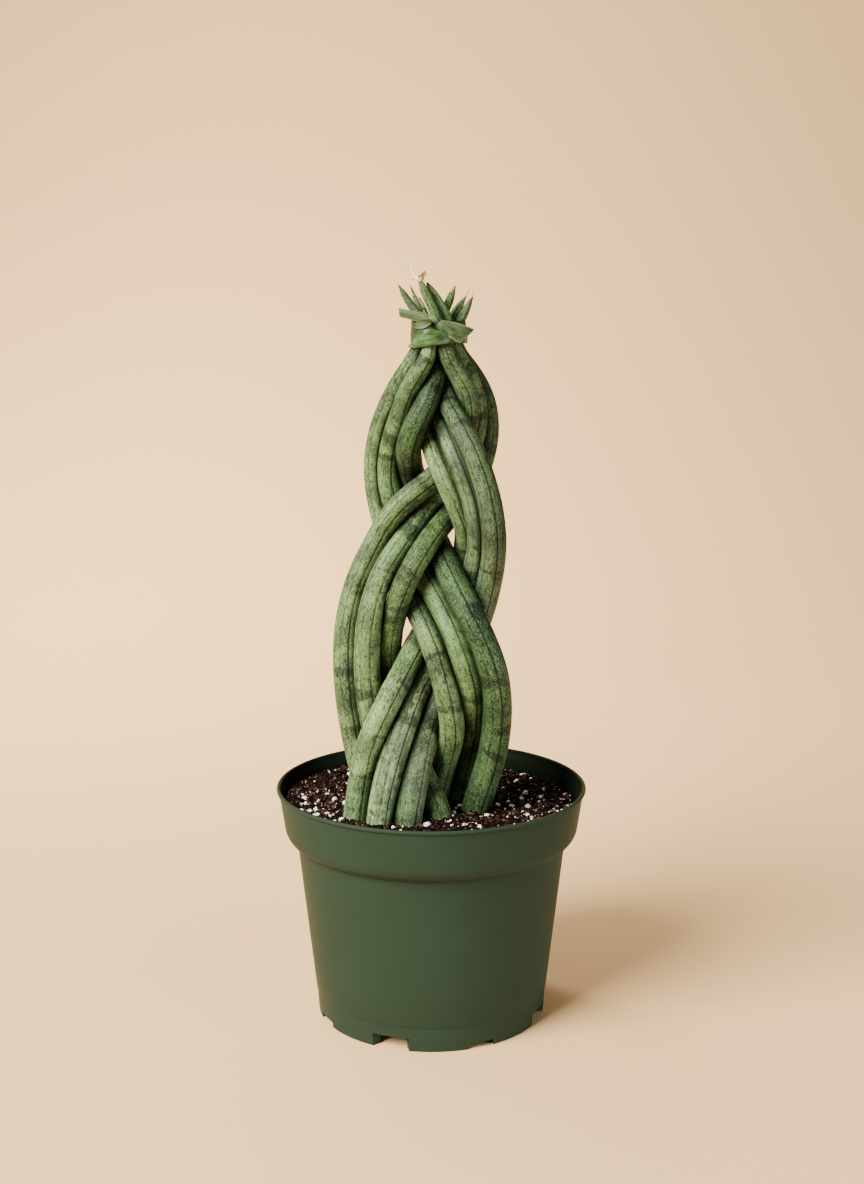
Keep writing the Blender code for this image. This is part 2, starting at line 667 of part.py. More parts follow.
def main():
    clear_scene()
    plant = new_collection("snake plant")
    helpers = new_collection("helpers")
    sizes = [leaf[:3] for leaf in LEAVES.values()]
    paths = np.array([leaf_path(route) for _, _, _, route in LEAVES.values()])
    radii = np.array([leaf_radii(path, *size) for path, size in zip(paths, sizes)])
    paths = np.array([closer_at_tip(path) for path in relax(paths, radii)])
    radii = np.array([leaf_radii(path, *size) for path, size in zip(paths, sizes)])
    make_pot(plant, new_material("pot plastic", POT_COLOUR, 0.5))
    make_soil(plant, new_material("potting soil", SOIL_COLOUR, 0.95), paths, radii)
    make_leaves(plant, helpers, new_material("leaf", LEAF_COLOUR, 0.5), paths, radii)
    make_tie(plant, new_material("leaf strip", TIE_COLOUR, 0.45), paths, radii)


main()
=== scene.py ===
import json
import math

import bmesh
import bpy
import numpy as np
from mathutils import Matrix, Vector, noise

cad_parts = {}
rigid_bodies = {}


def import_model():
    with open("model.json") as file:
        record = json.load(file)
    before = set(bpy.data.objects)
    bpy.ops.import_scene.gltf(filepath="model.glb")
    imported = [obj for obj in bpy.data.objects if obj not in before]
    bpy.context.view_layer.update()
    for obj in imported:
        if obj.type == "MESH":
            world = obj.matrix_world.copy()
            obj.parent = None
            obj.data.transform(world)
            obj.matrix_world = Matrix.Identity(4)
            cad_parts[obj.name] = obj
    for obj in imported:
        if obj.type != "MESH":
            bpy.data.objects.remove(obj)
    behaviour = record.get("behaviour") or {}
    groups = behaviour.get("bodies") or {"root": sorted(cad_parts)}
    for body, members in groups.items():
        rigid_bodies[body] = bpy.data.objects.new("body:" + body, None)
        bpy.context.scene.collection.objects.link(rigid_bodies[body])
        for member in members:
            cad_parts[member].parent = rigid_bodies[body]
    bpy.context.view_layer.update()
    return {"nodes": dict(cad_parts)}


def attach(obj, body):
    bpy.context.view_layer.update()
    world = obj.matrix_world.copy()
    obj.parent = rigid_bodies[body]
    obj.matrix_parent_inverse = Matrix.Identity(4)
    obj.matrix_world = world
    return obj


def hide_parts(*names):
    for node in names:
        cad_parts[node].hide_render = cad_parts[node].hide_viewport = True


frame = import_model()

# Camera: a 50 mm lens on a full-frame sensor, a little below the tips and looking down by ten
# degrees at a pot about 0.8 m away.
LENS, SENSOR_WIDTH = 50.0, 36.0
CAMERA_PLACE, CAMERA_DOWN = (0.00037, -0.7822, 0.35026), 10.12
camera_data = bpy.data.cameras.new("camera")
camera_data.lens = LENS
camera_data.sensor_width = SENSOR_WIDTH
camera = bpy.data.objects.new("camera", camera_data)
camera.location = CAMERA_PLACE
camera.rotation_euler = (math.radians(90 - CAMERA_DOWN), 0.0, 0.0)
bpy.context.scene.collection.objects.link(camera)
bpy.context.scene.camera = camera


# Floor and backdrop: one roll of matt beige paper that lies on the table and curves up behind.
# It's the stage and no part of the plant, and its sizes are in metres.
PAPER = "#E7C28B"
PAPER_FRONT, PAPER_CURVE, PAPER_BEND, PAPER_TOP = -0.55, 0.75, 1.4, 2.4
PAPER_HALF_WIDTH = 1.1


def linear(hex_colour):
    """An sRGB hex colour as the linear RGBA that a socket takes."""
    shares = [int(hex_colour[i:i + 2], 16) / 255 for i in (1, 3, 5)]
    return [*(c / 12.92 if c <= 0.04045 else ((c + 0.055) / 1.055) ** 2.4 for c in shares), 1.0]


def new_material(name):
    """A material, its node tree and its principled shader."""
    material = bpy.data.materials.new(name)
    material.use_nodes = True
    return material, material.node_tree, material.node_tree.nodes["Principled BSDF"]


def mesh_object(name, places, faces, material, smooth_degrees=None):
    """A mesh object from places in metres and lists of corner numbers."""
    mesh = bpy.data.meshes.new(name)
    mesh.from_pydata(np.asarray(places).tolist(), [], faces)
    mesh.materials.append(material)
    if smooth_degrees:
        mesh.shade_smooth()
        mesh.set_sharp_from_angle(angle=math.radians(smooth_degrees))
    obj = bpy.data.objects.new(name, mesh)
    bpy.context.scene.collection.objects.link(obj)
    return obj


# Uncoated paper is matt, with hardly any sheen.
paper, tree, shader = new_material("matt seamless paper")
shader.inputs["Base Color"].default_value = linear(PAPER)
shader.inputs["Roughness"].default_value = 0.9
shader.inputs["Specular IOR Level"].default_value = 0.2
line = [(PAPER_FRONT, 0.0)]
line += [(PAPER_CURVE + PAPER_BEND * math.sin(turn), PAPER_BEND * (1 - math.cos(turn)))
         for turn in np.linspace(0, math.pi / 2, 24)]
line += [(PAPER_CURVE + PAPER_BEND, PAPER_TOP)]
places = [(x, y, z) for y, z in line for x in (-PAPER_HALF_WIDTH, PAPER_HALF_WIDTH)]
faces = [(2 * i, 2 * i + 1, 2 * i + 3, 2 * i + 2) for i in range(len(line) - 1)]
sweep = mesh_object("paper_sweep", places, faces, paper, 60)


# Light: a large soft box at the upper left in front, one for the backdrop, a weak card low at the
# right that lifts the pot's shaded side, and the glow of a pale room.
ROOM_COLOUR, ROOM_STRENGTH = "#DEE7FB", 0.205
# Each light: its place, its aim and its side in metres, its watts, its spread in degrees and its
# colour
LIGHTS = {
    "key soft box": ((-1.0, -0.9, 1.05), (0.0, 0.0, 0.18), 1.0, 116.0, 180, "#FFF6EC"),
    "backdrop soft box": ((-0.44, 0.65, 0.90), (0.04, 1.45, 0.32), 0.6, 33.5, 180, "#FFF2E3"),
    "low card": ((0.75, -0.45, 0.10), (0.0, 0.0, 0.05), 0.3, 0.52, 40, "#F7EEF1"),
}
for name, (place, aim, side, watts, spread, colour) in LIGHTS.items():
    lamp = bpy.data.lights.new(name, "AREA")
    lamp.shape = "SQUARE"
    lamp.size = side
    lamp.spread = math.radians(spread)
    lamp.energy = watts
    lamp.color = linear(colour)[:3]
    lamp_object = bpy.data.objects.new(name, lamp)
    lamp_object.location = place
    lamp_object.rotation_euler = (Vector(aim) - Vector(place)).to_track_quat("-Z", "Y").to_euler()
    bpy.context.scene.collection.objects.link(lamp_object)
world = bpy.data.worlds.new("pale room")
world.use_nodes = True
world.node_tree.nodes["Background"].inputs["Color"].default_value = linear(ROOM_COLOUR)
world.node_tree.nodes["Background"].inputs["Strength"].default_value = ROOM_STRENGTH
bpy.context.scene.world = world


# Pot: polypropylene, injection moulded with a thin wall. A rolled lip crowns the collar band, the
# shoulder under it is rounded, and the foot has a fine step and notches for drainage.
MM = 0.001
RIM_RADIUS, LIP_RADIUS, POT_HEIGHT = 76.0, 1.0, 115.0
COLLAR_FOOT, BODY_TOP = (72.2, 95.5), (66.1, 87.5)
FOOT_LINE, FOOT_STEP, FOOT_RADIUS = (57.6, 12.6), 0.35, 56.4
WALL, FLOOR_ROUND, FLOOR_UNDER, FLOOR_TOP = 1.2, 2.0, 7.0, 8.5
POT_SIDES = 192
# The collar's outside from the shoulder up to the lip, and its inside on the way back down
COLLAR_OUTSIDE = ((72.5, 97.3), (72.9, 100.0), (73.35, 103.0), (73.8, 106.0), (74.25, 109.0),
                  (74.6, 111.4), (74.75, 112.7), (75.0, 112.9))
COLLAR_INSIDE = ((73.7, 112.6), (72.9, 110.6), (72.4, 108.5), (72.2, 106.0))
LIP_START, LIP_END, LIP_STEPS = -75, 190, 18
# Four deep pockets with an opening in each, and a shallow notch between each two
NOTCH_COUNT, POCKET_ANGLE, SHALLOW_ANGLE = 4, -20.0, 25.0
POCKET_DEPTH, POCKET_WIDTH, POCKET_HEIGHT = 4.0, 21.0, 6.6
OPENING_WIDTH, OPENING_HEIGHT, SHALLOW_WIDTH, SHALLOW_HEIGHT = 14.0, 5.8, 13.5, 2.8
# The plastic's two greens, its dust, the painted shade of the inner wall and how much of it is laid
# on
PLASTIC_DARK, PLASTIC_PALE, DUST, INNER_WALL_SHADE = "#243126", "#27362A", "#C9CBB4", "#11180E"
INNER_WALL_SHADE_SHARE = 0.93


def add_node(tree, kind, inputs=None, **settings):
    """Adds a node with its settings. Each input takes a value or another node's output."""
    node = tree.nodes.new(kind)
    for setting, value in settings.items():
        setattr(node, setting, value)
    for key, value in (inputs or {}).items():
        if isinstance(value, bpy.types.NodeSocket):
            tree.links.new(value, node.inputs[key])
        else:
            node.inputs[key].default_value = value
    return node


def turned(profile, sides):
    """Places and faces of a profile of (radius, height) in mm turned about Z.

    It starts on the axis below and ends on it above, and its outside is on the right.
    """
    around = np.linspace(0, 2 * math.pi, sides, endpoint=False)
    radius, height = np.array(profile[1:-1]).T
    rings = np.stack([np.outer(radius, np.cos(around)), np.outer(radius, np.sin(around)),
                      np.repeat(height[:, None], sides, axis=1)], axis=-1)
    places = np.concatenate([rings.reshape(-1, 3), [(0, 0, profile[0][1]), (0, 0, profile[-1][1])]])
    return places, tube_faces(len(radius), sides)


def tube_faces(rings, sides):
    """Faces round a tube of rings, with a fan at each end to one middle corner."""
    ring, side = np.meshgrid(np.arange(rings - 1) * sides, np.arange(sides), indexing="ij")
    after = (side + 1) % sides
    quads = np.stack([ring + side, ring + after, ring + sides + after, ring + sides + side], -1)
    faces = quads.reshape(-1, 4).tolist()
    start, end, last = rings * sides, rings * sides + 1, (rings - 1) * sides
    for i in range(sides):
        j = (i + 1) % sides
        faces.append((j, i, start))
        faces.append((last + i, last + j, end))
    return faces


def body_radius(height):
    """The radius of the pot's tapered outside at a height in mm."""
    (top_radius, top), (low_radius, low) = BODY_TOP, FOOT_LINE
    return low_radius + (top_radius - low_radius) * (height - low) / (top - low)


def shoulder(shrink, steps):
    """The rounded shoulder from the body up to the collar band."""
    start, end = Vector(BODY_TOP), Vector(COLLAR_FOOT)
    corner = Vector((end.x - 0.6, start.y + 2.6))
    points = []
    for share in np.linspace(0, 1, steps):
        point = start * (1 - share) ** 2 + corner * 2 * share * (1 - share) + end * share ** 2
        points.append((point.x - shrink, point.y))
    return points


def pot_profile():
    """The pot's wall in mm: from under the floor down the foot, up the outside and back down."""
    foot = FOOT_RADIUS - WALL
    outside = [(0.0, FLOOR_UNDER), (foot - 1.5, FLOOR_UNDER), (foot - 0.3, FLOOR_UNDER - 0.6),
               (foot, FLOOR_UNDER - 2.0), (foot - 0.2, 0.25), (foot + 0.1, 0.0),
               (FOOT_RADIUS - 0.25, 0.0), (FOOT_RADIUS, 0.3)]
    step = FOOT_LINE[0] - FOOT_STEP
    outside += [(step - 0.02, FOOT_LINE[1] - 0.55), (step + 0.08, FOOT_LINE[1] - 0.4),
                (FOOT_LINE[0] - 0.08, FOOT_LINE[1] - 0.1), (FOOT_LINE[0], FOOT_LINE[1] + 0.15)]
    outside += [(body_radius(z), z) for z in (30.0, 50.0, 70.0, 80.0)]
    outside += shoulder(0.0, 14)
    outside += COLLAR_OUTSIDE
    lip = []
    for degrees in np.linspace(LIP_START, LIP_END, LIP_STEPS):
        turn = math.radians(degrees)
        lip.append((RIM_RADIUS - LIP_RADIUS + LIP_RADIUS * math.cos(turn),
                    POT_HEIGHT - LIP_RADIUS + LIP_RADIUS * math.sin(turn)))
    corner = body_radius(FLOOR_TOP) - WALL
    inside = list(COLLAR_INSIDE)
    inside += shoulder(WALL, 10)[::-1]
    inside += [(corner + 0.1, FLOOR_TOP + FLOOR_ROUND), (corner - 0.5, FLOOR_TOP + 0.5),
               (corner - FLOOR_ROUND, FLOOR_TOP), (0.0, FLOOR_TOP)]
    return outside + lip + inside


def foot_wedge(out_width, in_width, depth_range, height_range, angle):
    """A block across the foot at an angle from the front, as wide as given outside and inside."""
    (near, far), (low, high) = depth_range, height_range
    block = bpy.data.meshes.new("foot block")
    shape = bmesh.new()
    bmesh.ops.create_cube(shape, size=1.0)
    for vertex in shape.verts:
        outer = vertex.co.y < 0
        vertex.co = Vector((vertex.co.x * (out_width if outer else in_width),
                            -far if outer else -near,
                            high if vertex.co.z > 0 else low)) * MM
    bmesh.ops.transform(shape, matrix=Matrix.Rotation(math.radians(angle), 4, "Z"),
                        verts=shape.verts)
    shape.to_mesh(block)
    shape.free()
    return block


def apply_modifiers(obj):
    """Replaces the object's mesh with what its modifiers make of it."""
    graph = bpy.context.evaluated_depsgraph_get()
    mesh = bpy.data.meshes.new_from_object(obj.evaluated_get(graph))
    obj.modifiers.clear()
    obj.data = mesh


def cut_or_join(obj, operation, blocks):
    """Takes the blocks away from the object or joins them to it, in one Boolean."""
    group = bpy.data.collections.new("foot blocks")
    bpy.context.scene.collection.children.link(group)
    for block in blocks:
        group.objects.link(bpy.data.objects.new("foot block", block))
    boolean = obj.modifiers.new("Foot", "BOOLEAN")
    boolean.operation = operation
    boolean.operand_type = "COLLECTION"
    boolean.collection = group
    boolean.solver = "EXACT"
    apply_modifiers(obj)
    for helper in list(group.objects):
        bpy.data.objects.remove(helper, do_unlink=True)
    bpy.data.collections.remove(group)


def add_attribute(mesh, name, kind, values):
    """Gives each corner of a mesh a value, or a vector, that its material reads."""
    attribute = mesh.attributes.new(name, kind, "POINT")
    field = "vector" if kind == "FLOAT_VECTOR" else "value"
    attribute.data.foreach_set(field, np.asarray(values, np.float32).ravel())


# The mould gives it an even satin green with very little gloss.
plastic, tree, shader = new_material("dark green polypropylene, injection moulded")
place = add_node(tree, "ShaderNodeTexCoord").outputs["Object"]
# The melt cools unevenly, which leaves broad, faint clouds in the colour and the gloss.
clouds = add_node(tree, "ShaderNodeTexNoise", {"Vector": place, "Scale": 28.0, "Detail": 3.0})
cloudy = add_node(tree, "ShaderNodeMix", {
    "Factor": clouds.outputs["Fac"], 6: linear(PLASTIC_DARK), 7: linear(PLASTIC_PALE)},
    data_type="RGBA")
# Dust from the nursery: pale specks of 0.3 to 0.6 mm, only a few to the hand's breadth.
dust = add_node(tree, "ShaderNodeTexVoronoi", {"Vector": place, "Scale": 75.0})
speck = add_node(tree, "ShaderNodeMapRange", {
    "Value": dust.outputs["Distance"], "From Min": 0.020, "From Max": 0.036,
    "To Min": 1.0, "To Max": 0.0})
rare = add_node(tree, "ShaderNodeMath", {0: dust.outputs["Color"], 1: 0.80},
                operation="GREATER_THAN")
dusty = add_node(tree, "ShaderNodeMath", {0: speck.outputs["Result"], 1: rare.outputs[0]},
                 operation="MULTIPLY")
dusty = add_node(tree, "ShaderNodeMath", {0: dusty.outputs[0], 1: 0.5}, operation="MULTIPLY")
dusted = add_node(tree, "ShaderNodeMix", {
    "Factor": dusty.outputs[0], 6: cloudy.outputs[2], 7: linear(DUST)}, data_type="RGBA")
# Painted shade: the inner wall above the floor is darkened in place of the shadow that the rim and
# the leaves cast into the pot.
inner_wall_shade_mask = add_node(tree, "ShaderNodeAttribute", attribute_name="inside")
inner_wall_shaded = add_node(tree, "ShaderNodeMix", {
    "Factor": inner_wall_shade_mask.outputs["Fac"], 6: dusted.outputs[2], 7: linear(INNER_WALL_SHADE)}, data_type="RGBA")
tree.links.new(inner_wall_shaded.outputs[2], shader.inputs["Base Color"])
gloss = add_node(tree, "ShaderNodeMapRange", {
    "Value": clouds.outputs["Fac"], "From Min": 0.3, "From Max": 0.7,
    "To Min": 0.40, "To Max": 0.50})
tree.links.new(gloss.outputs["Result"], shader.inputs["Roughness"])
shader.inputs["IOR"].default_value = 1.49
shader.inputs["Specular IOR Level"].default_value = 0.03
# The mould's spark-eroded skin has a grain of about 0.4 mm, 0.02 mm deep.
grain = add_node(tree, "ShaderNodeTexNoise", {"Vector": place, "Scale": 2400.0, "Detail": 1.0})
skin = add_node(tree, "ShaderNodeBump", {
    "Height": grain.outputs["Fac"], "Distance": 0.00002, "Strength": 0.5})
tree.links.new(skin.outputs["Normal"], shader.inputs["Normal"])

places, faces = turned(pot_profile(), POT_SIDES)
pot = mesh_object("moulded_pot", places * MM, faces, plastic)
inner_face = FOOT_RADIUS - POCKET_DEPTH
bosses, cuts = [], []
# A boss behind the foot wall takes each pocket. The opening goes through the boss, and a drain
# hole goes through the floor behind it.
for turn in range(NOTCH_COUNT):
    deep = POCKET_ANGLE + turn * 360 / NOTCH_COUNT
    shallow = SHALLOW_ANGLE + turn * 360 / NOTCH_COUNT
    bosses.append(foot_wedge(POCKET_WIDTH + 3.0, POCKET_WIDTH,
                             (inner_face - 2.4, FOOT_RADIUS - 1.4), (0.0, FLOOR_UNDER + 0.4),
                             deep))
    cuts.append(foot_wedge(POCKET_WIDTH + 1.6, OPENING_WIDTH + 0.6,
                           (inner_face, FOOT_RADIUS + 3.0), (-1.0, POCKET_HEIGHT), deep))
    cuts.append(foot_wedge(OPENING_WIDTH, OPENING_WIDTH, (inner_face - 4.0, inner_face + 2.0),
                           (-1.0, OPENING_HEIGHT), deep))
    cuts.append(foot_wedge(OPENING_WIDTH - 3, OPENING_WIDTH - 3,
                           (inner_face - 9.5, inner_face - 4.2),
                           (FLOOR_UNDER - 1.0, FLOOR_TOP + 1.0), deep))
    cuts.append(foot_wedge(SHALLOW_WIDTH, SHALLOW_WIDTH, (FOOT_RADIUS - 6.0, FOOT_RADIUS + 4.0),
                           (-1.0, SHALLOW_HEIGHT), shallow))
cut_or_join(pot, "UNION", bosses)
cut_or_join(pot, "DIFFERENCE", cuts)
pot.data.shade_smooth()
pot.data.set_sharp_from_angle(angle=math.radians(28))
# The inner wall above the floor is marked for the painted shade.
inward = [vertex.co.z > FLOOR_TOP * MM and vertex.co.xy.dot(vertex.normal.xy) < 0
          for vertex in pot.data.vertices]
add_attribute(pot.data, "inside", "FLOAT", INNER_WALL_SHADE_SHARE * np.array(inward))
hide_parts("pot")
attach(pot, "root")


# Leaves: each is one round, tapering, fleshy blade with fine grooves along it. Its line and its
# girth are read from the rings of the leaf's own solid, and the skin is drawn finer between them.
LEAF_STEP, LEAF_SIDES, LINE_SMOOTHING = 1.2, 112, 3.5
# A groove is a fine cut along the middle of a shallow flute, and the skin swells here and there.
GROOVE_DEPTH, FLUTE_DEPTH, WAVE_DEPTH = 0.20, 0.10, 0.10
# The deepest groove runs down the side that faces front, a little to the right, and the others
# follow it at odd spacings. Spacings and widths are counted in sides of the leaf's mesh.
DEEPEST_FACES, DEEPEST, GROOVE_SPACING = np.array([0.30, -0.95, 0.1]), 1.3, (11, 19)
LAST_SPACING, GROOVE_WIDTH, FLUTE_WIDTH = 9, 0.8, 2.8
# Neighbours that lie side by side press flat on each other, up to this much each, but not near
# their tips
PRESS, PRESS_REACH, PRESS_SMOOTHING, LOOSE_TIP, LOOSENING = 0.95, 2.4, 3.0, 40, 20
# How much painted shade darkens the skin where a neighbour lies close beside it, how near in mm
# that neighbour lies, and over how much that shade fades
SHADED_SIDE, SHADE_REACH, SHADE_FADE = 0.65, 4.0, 3.0
# The heights in mm over which painted shade darkens the skin and then fades out again, and over
# which the green above the tie sets in, which is partly painted light
DARKER_FROM, DARKER_OVER, PALE_FROM, PALE_OVER = 215, 25, 318, 15
TIED_HEIGHT, TIED_OVER = 338.0, 5
# Where a leaf's line is drawn a little to the side to close a gap: height, reach and way in mm
NUDGES = {"leaf_right_middle": (210, 16, 0.8), "leaf_right_outer": (210, 16, -0.7),
          "leaf_left_inner": (205, 35, -0.7), "leaf_back_outer": (262, 28, -0.8)}
# How far below its tip a leaf is fuller than a plain cone and over how much, and the radius under
# which its grooves fade out, all in mm
TIP_REACH, TIP_WIDTH, THIN_FROM = 5.5, 5.0, 3.0
# How ragged the line is where the dried tip ends, and over how much it fades, in mm
DRY_RAGGED, DRY_FADE = 2.4, 1.2
# How far apart the leaves lie in their pattern, so that no two are alike
PATTERN_APART = 350
# Each leaf: its lit, middle and dark greens, set lighter or darker leaf by leaf partly as painted
# light and shade, the green above the tie, which is partly painted light and shade, how much
# painted shade darkens it below the tie, how strong its cross-bands are, the length of its dried
# tip in mm, that tip's colour, and how much fuller its tip is than a plain cone
LEAF_LOOKS = {
    "leaf_left_outer": ("#698350", "#3D5235", "#192316", "#738559", 0.00,
        0.74, 2.6, "#4D3A30", 0.1),
    "leaf_left_middle": ("#6A8B53", "#3D5636", "#182515", "#3A4A30", 0.22,
        0.74, 1.6, "#473629", 0.35),
    "leaf_left_inner": ("#3C5930", "#1E341F", "#0D180E", "#4C6D38", 0.25,
        0.82, 3.0, "#8C6F52", 0.5),
    "leaf_right_inner": ("#698551", "#3D5236", "#1A2516", "#465D31", 0.00,
        0.74, 0.8, "#C8A57C", 0.45),
    "leaf_right_middle": ("#78985F", "#485F3E", "#1D2B1A", "#617D4D", 0.00,
        0.70, 2.2, "#5F4534", 0.3),
    "leaf_right_outer": ("#577641", "#314628", "#151F10", "#4F6440", 0.15,
        0.78, 2.2, "#634636", 0.3),
    "leaf_back_inner": ("#76935D", "#455D3D", "#1F2C19", "#A0C288", 0.00,
        0.70, 1.8, "#6B5140", 0.0),
    "leaf_back_middle": ("#869F6E", "#4F664A", "#253321", "#7A9866", 0.42,
        0.74, 2.0, "#6B5140", 0.0),
    "leaf_back_outer": ("#586D4A", "#324230", "#141E13", "#97C07B", 0.28,
        0.78, 1.6, "#6F5343", 0.45),
}
PANEL_GREEN, PALE_FLECK, GROOVE_LINE = "#476330", "#93A580", "#080D07"


def rings_of(node):
    """Middle points and radii in mm of a leaf's rings, from its buried end to its tip."""
    shape = bmesh.new()
    shape.from_mesh(frame["nodes"][node].data)
    bmesh.ops.remove_doubles(shape, verts=shape.verts, dist=0.000002)
    lowest = min(vertex.co.z for vertex in shape.verts)
    ring = [vertex for vertex in shape.verts if vertex.co.z < lowest + 0.00001]
    seen = set(ring)
    middles, radii = [], []
    while ring:
        corners = np.array([vertex.co for vertex in ring]) / MM
        middles.append(corners.mean(axis=0))
        radii.append(np.linalg.norm(corners - middles[-1], axis=1).max())
        following = []
        for vertex in ring:
            for edge in vertex.link_edges:
                other = edge.other_vert(vertex)
                if other not in seen:
                    seen.add(other)
                    following.append(other)
        ring = following
    shape.free()
    return np.array(middles), np.array(radii)


def smooth_line(points, at, where):
    """A smooth curve's values at the places `where`, through the points at the places `at`."""
    slope = np.gradient(points, at, axis=0)
    index = np.clip(np.searchsorted(at, where) - 1, 0, len(at) - 2)
    span = at[index + 1] - at[index]
    t = (where - at[index]) / span
    shape = (-1,) + (1,) * (points.ndim - 1)
    span, t = span.reshape(shape), t.reshape(shape)
    return ((2 * t ** 3 - 3 * t ** 2 + 1) * points[index] + (t ** 3 - 2 * t ** 2 + t) * span
            * slope[index] + (3 * t ** 2 - 2 * t ** 3) * points[index + 1]
            + (t ** 3 - t ** 2) * span * slope[index + 1])


def carried_frames(points):
    """Two directions across a line at each of its points, turned as little as possible."""
    ahead = np.gradient(points, axis=0)
    ahead /= np.linalg.norm(ahead, axis=1)[:, None]
    first = np.cross(ahead[0], (0.0, 1.0, 0.0))
    sides = []
    for direction in ahead:
        first = first - direction * (first @ direction)
        first /= np.linalg.norm(first)
        sides.append((first, np.cross(direction, first)))
    return np.array(sides)


def stained(tree, ground, pattern, low, high, most, colour, interpolation="LINEAR"):
    """The ground with a stain of a colour, which sets in as the pattern goes from low to high."""
    share = add_node(tree, "ShaderNodeMapRange", {
        "Value": pattern, "From Min": low, "From Max": high, "To Min": 0.0, "To Max": most},
        interpolation_type=interpolation)
    return add_node(tree, "ShaderNodeMix", {
        "Factor": share.outputs["Result"], 6: ground, 7: linear(colour)},
        data_type="RGBA").outputs[2]


def leaf_material(name, lit, middle, dark, tip_green_and_painted_light, bands, dry_colour):
    """Live leaf skin: waxy, finely speckled, with dark cross-bands, groove lines and painted shade.

    It reads the leaf laid out straight, so every pattern runs along the leaf.
    """
    material, tree, shader = new_material(name)
    laid, groove, dry, above, dusk = [
        add_node(tree, "ShaderNodeAttribute", attribute_name=given).outputs[output]
        for given, output in (("straight", "Vector"), ("groove", "Fac"), ("dry", "Fac"),
                              ("above_tie", "Fac"), ("dusk", "Fac"))]

    def along_leaf(stretch, scale, detail, roughness=0.5, distortion=0.0):
        """A cloudy pattern over the laid-out leaf, stretched along it or across it."""
        laid_out = add_node(tree, "ShaderNodeMapping", {"Vector": laid, "Scale": stretch})
        return add_node(tree, "ShaderNodeTexNoise", {
            "Vector": laid_out.outputs[0], "Scale": scale, "Detail": detail,
            "Roughness": roughness, "Distortion": distortion}).outputs["Fac"]

    # Salt and pepper of 0.5 mm and coarser flecks of 1.2 mm, a little longer than wide
    fine = along_leaf((1.0, 1.0, 0.7), 2500.0, 2.0, 0.7)
    fleck = along_leaf((1.0, 1.0, 0.5), 900.0, 3.0, 0.65)
    # Cloudy patches of about 8 mm, and long panels that differ a little in their green
    patch = along_leaf((1.0, 1.0, 0.6), 140.0, 3.0, 0.6)
    panel = along_leaf((1.0, 1.0, 0.05), 150.0, 1.0)
    # Cross-bands 2 mm thick every 12 to 30 mm, and broad dark zones
    band = along_leaf((0.28, 0.28, 1.0), 95.0, 2.0, 0.5, 0.4)
    zone = along_leaf((0.4, 0.4, 1.0), 32.0, 2.0)
    # Fibre streaks under the skin, 0.5 mm wide
    streak = along_leaf((1.0, 1.0, 0.04), 1100.0, 2.0)

    ground = linear(lit)
    for pattern, low, high, most, colour in (
            (patch, 0.36, 0.64, 1.0, middle), (panel, 0.46, 0.66, 0.45, PANEL_GREEN),
            (streak, 0.45, 0.75, 0.18, lit)):
        ground = stained(tree, ground, pattern, low, high, most, colour, "SMOOTHSTEP")
    # Above the tie the skin turns to a green of its own, partly the ends' own green and partly
    # painted light and shade.
    ground = add_node(tree, "ShaderNodeMix", {
        "Factor": above, 6: ground, 7: linear(tip_green_and_painted_light)}, data_type="RGBA").outputs[2]
    # Bands and zones fade out in the ends above the tie.
    shares = [add_node(tree, "ShaderNodeMapRange", {
        "Value": pattern, "From Min": low, "From Max": high, "To Min": 0.0, "To Max": most},
        interpolation_type="SMOOTHSTEP").outputs["Result"]
        for pattern, low, high, most in ((band, 0.565, 0.65, bands), (zone, 0.48, 0.64, 0.50))]
    banding = add_node(tree, "ShaderNodeMath", {0: shares[0], 1: shares[1]}, operation="ADD",
                     use_clamp=True).outputs[0]
    calm = add_node(tree, "ShaderNodeMath", {0: above, 1: -0.7, 2: 1.0},
                    operation="MULTIPLY_ADD").outputs[0]
    banding = add_node(tree, "ShaderNodeMath", {0: banding, 1: calm},
                     operation="MULTIPLY").outputs[0]
    # A fleck is dark where its noise passes a level, and the level drops inside a band.
    raised = add_node(tree, "ShaderNodeMath", {0: banding, 1: 0.16, 2: fleck},
                      operation="MULTIPLY_ADD").outputs[0]
    for pattern, low, high, most, colour in (
            (raised, 0.50, 0.66, 0.85, dark), (fine, 0.50, 0.62, 0.62, dark),
            (fine, 0.46, 0.36, 0.38, PALE_FLECK)):
        ground = stained(tree, ground, pattern, low, high, most, colour, "SMOOTHSTEP")
    # Painted shade, over a span of heights below the tie and where neighbours lie close, darkens
    # the skin on top of the cross-bands.
    banding_and_painted_shade = add_node(tree, "ShaderNodeMath", {0: banding, 1: 0.50, 2: dusk},
                      operation="MULTIPLY_ADD", use_clamp=True)
    for share, colour in ((banding_and_painted_shade.outputs[0], dark), (groove, GROOVE_LINE), (dry, dry_colour)):
        ground = add_node(tree, "ShaderNodeMix", {
            "Factor": share, 6: ground, 7: linear(colour)}, data_type="RGBA").outputs[2]
    tree.links.new(ground, shader.inputs["Base Color"])
    wax = add_node(tree, "ShaderNodeMapRange", {
        "Value": fine, "From Min": 0.3, "From Max": 0.7, "To Min": 0.42, "To Max": 0.55},
        interpolation_type="SMOOTHSTEP")
    tree.links.new(wax.outputs["Result"], shader.inputs["Roughness"])
    shader.inputs["IOR"].default_value = 1.42
    shader.inputs["Specular IOR Level"].default_value = 0.14
    height = add_node(tree, "ShaderNodeMath", {0: streak, 1: fleck}, operation="ADD")
    relief = add_node(tree, "ShaderNodeBump", {
        "Height": height.outputs[0], "Distance": 0.00006, "Strength": 0.6})
    tree.links.new(relief.outputs["Normal"], shader.inputs["Normal"])
    return material


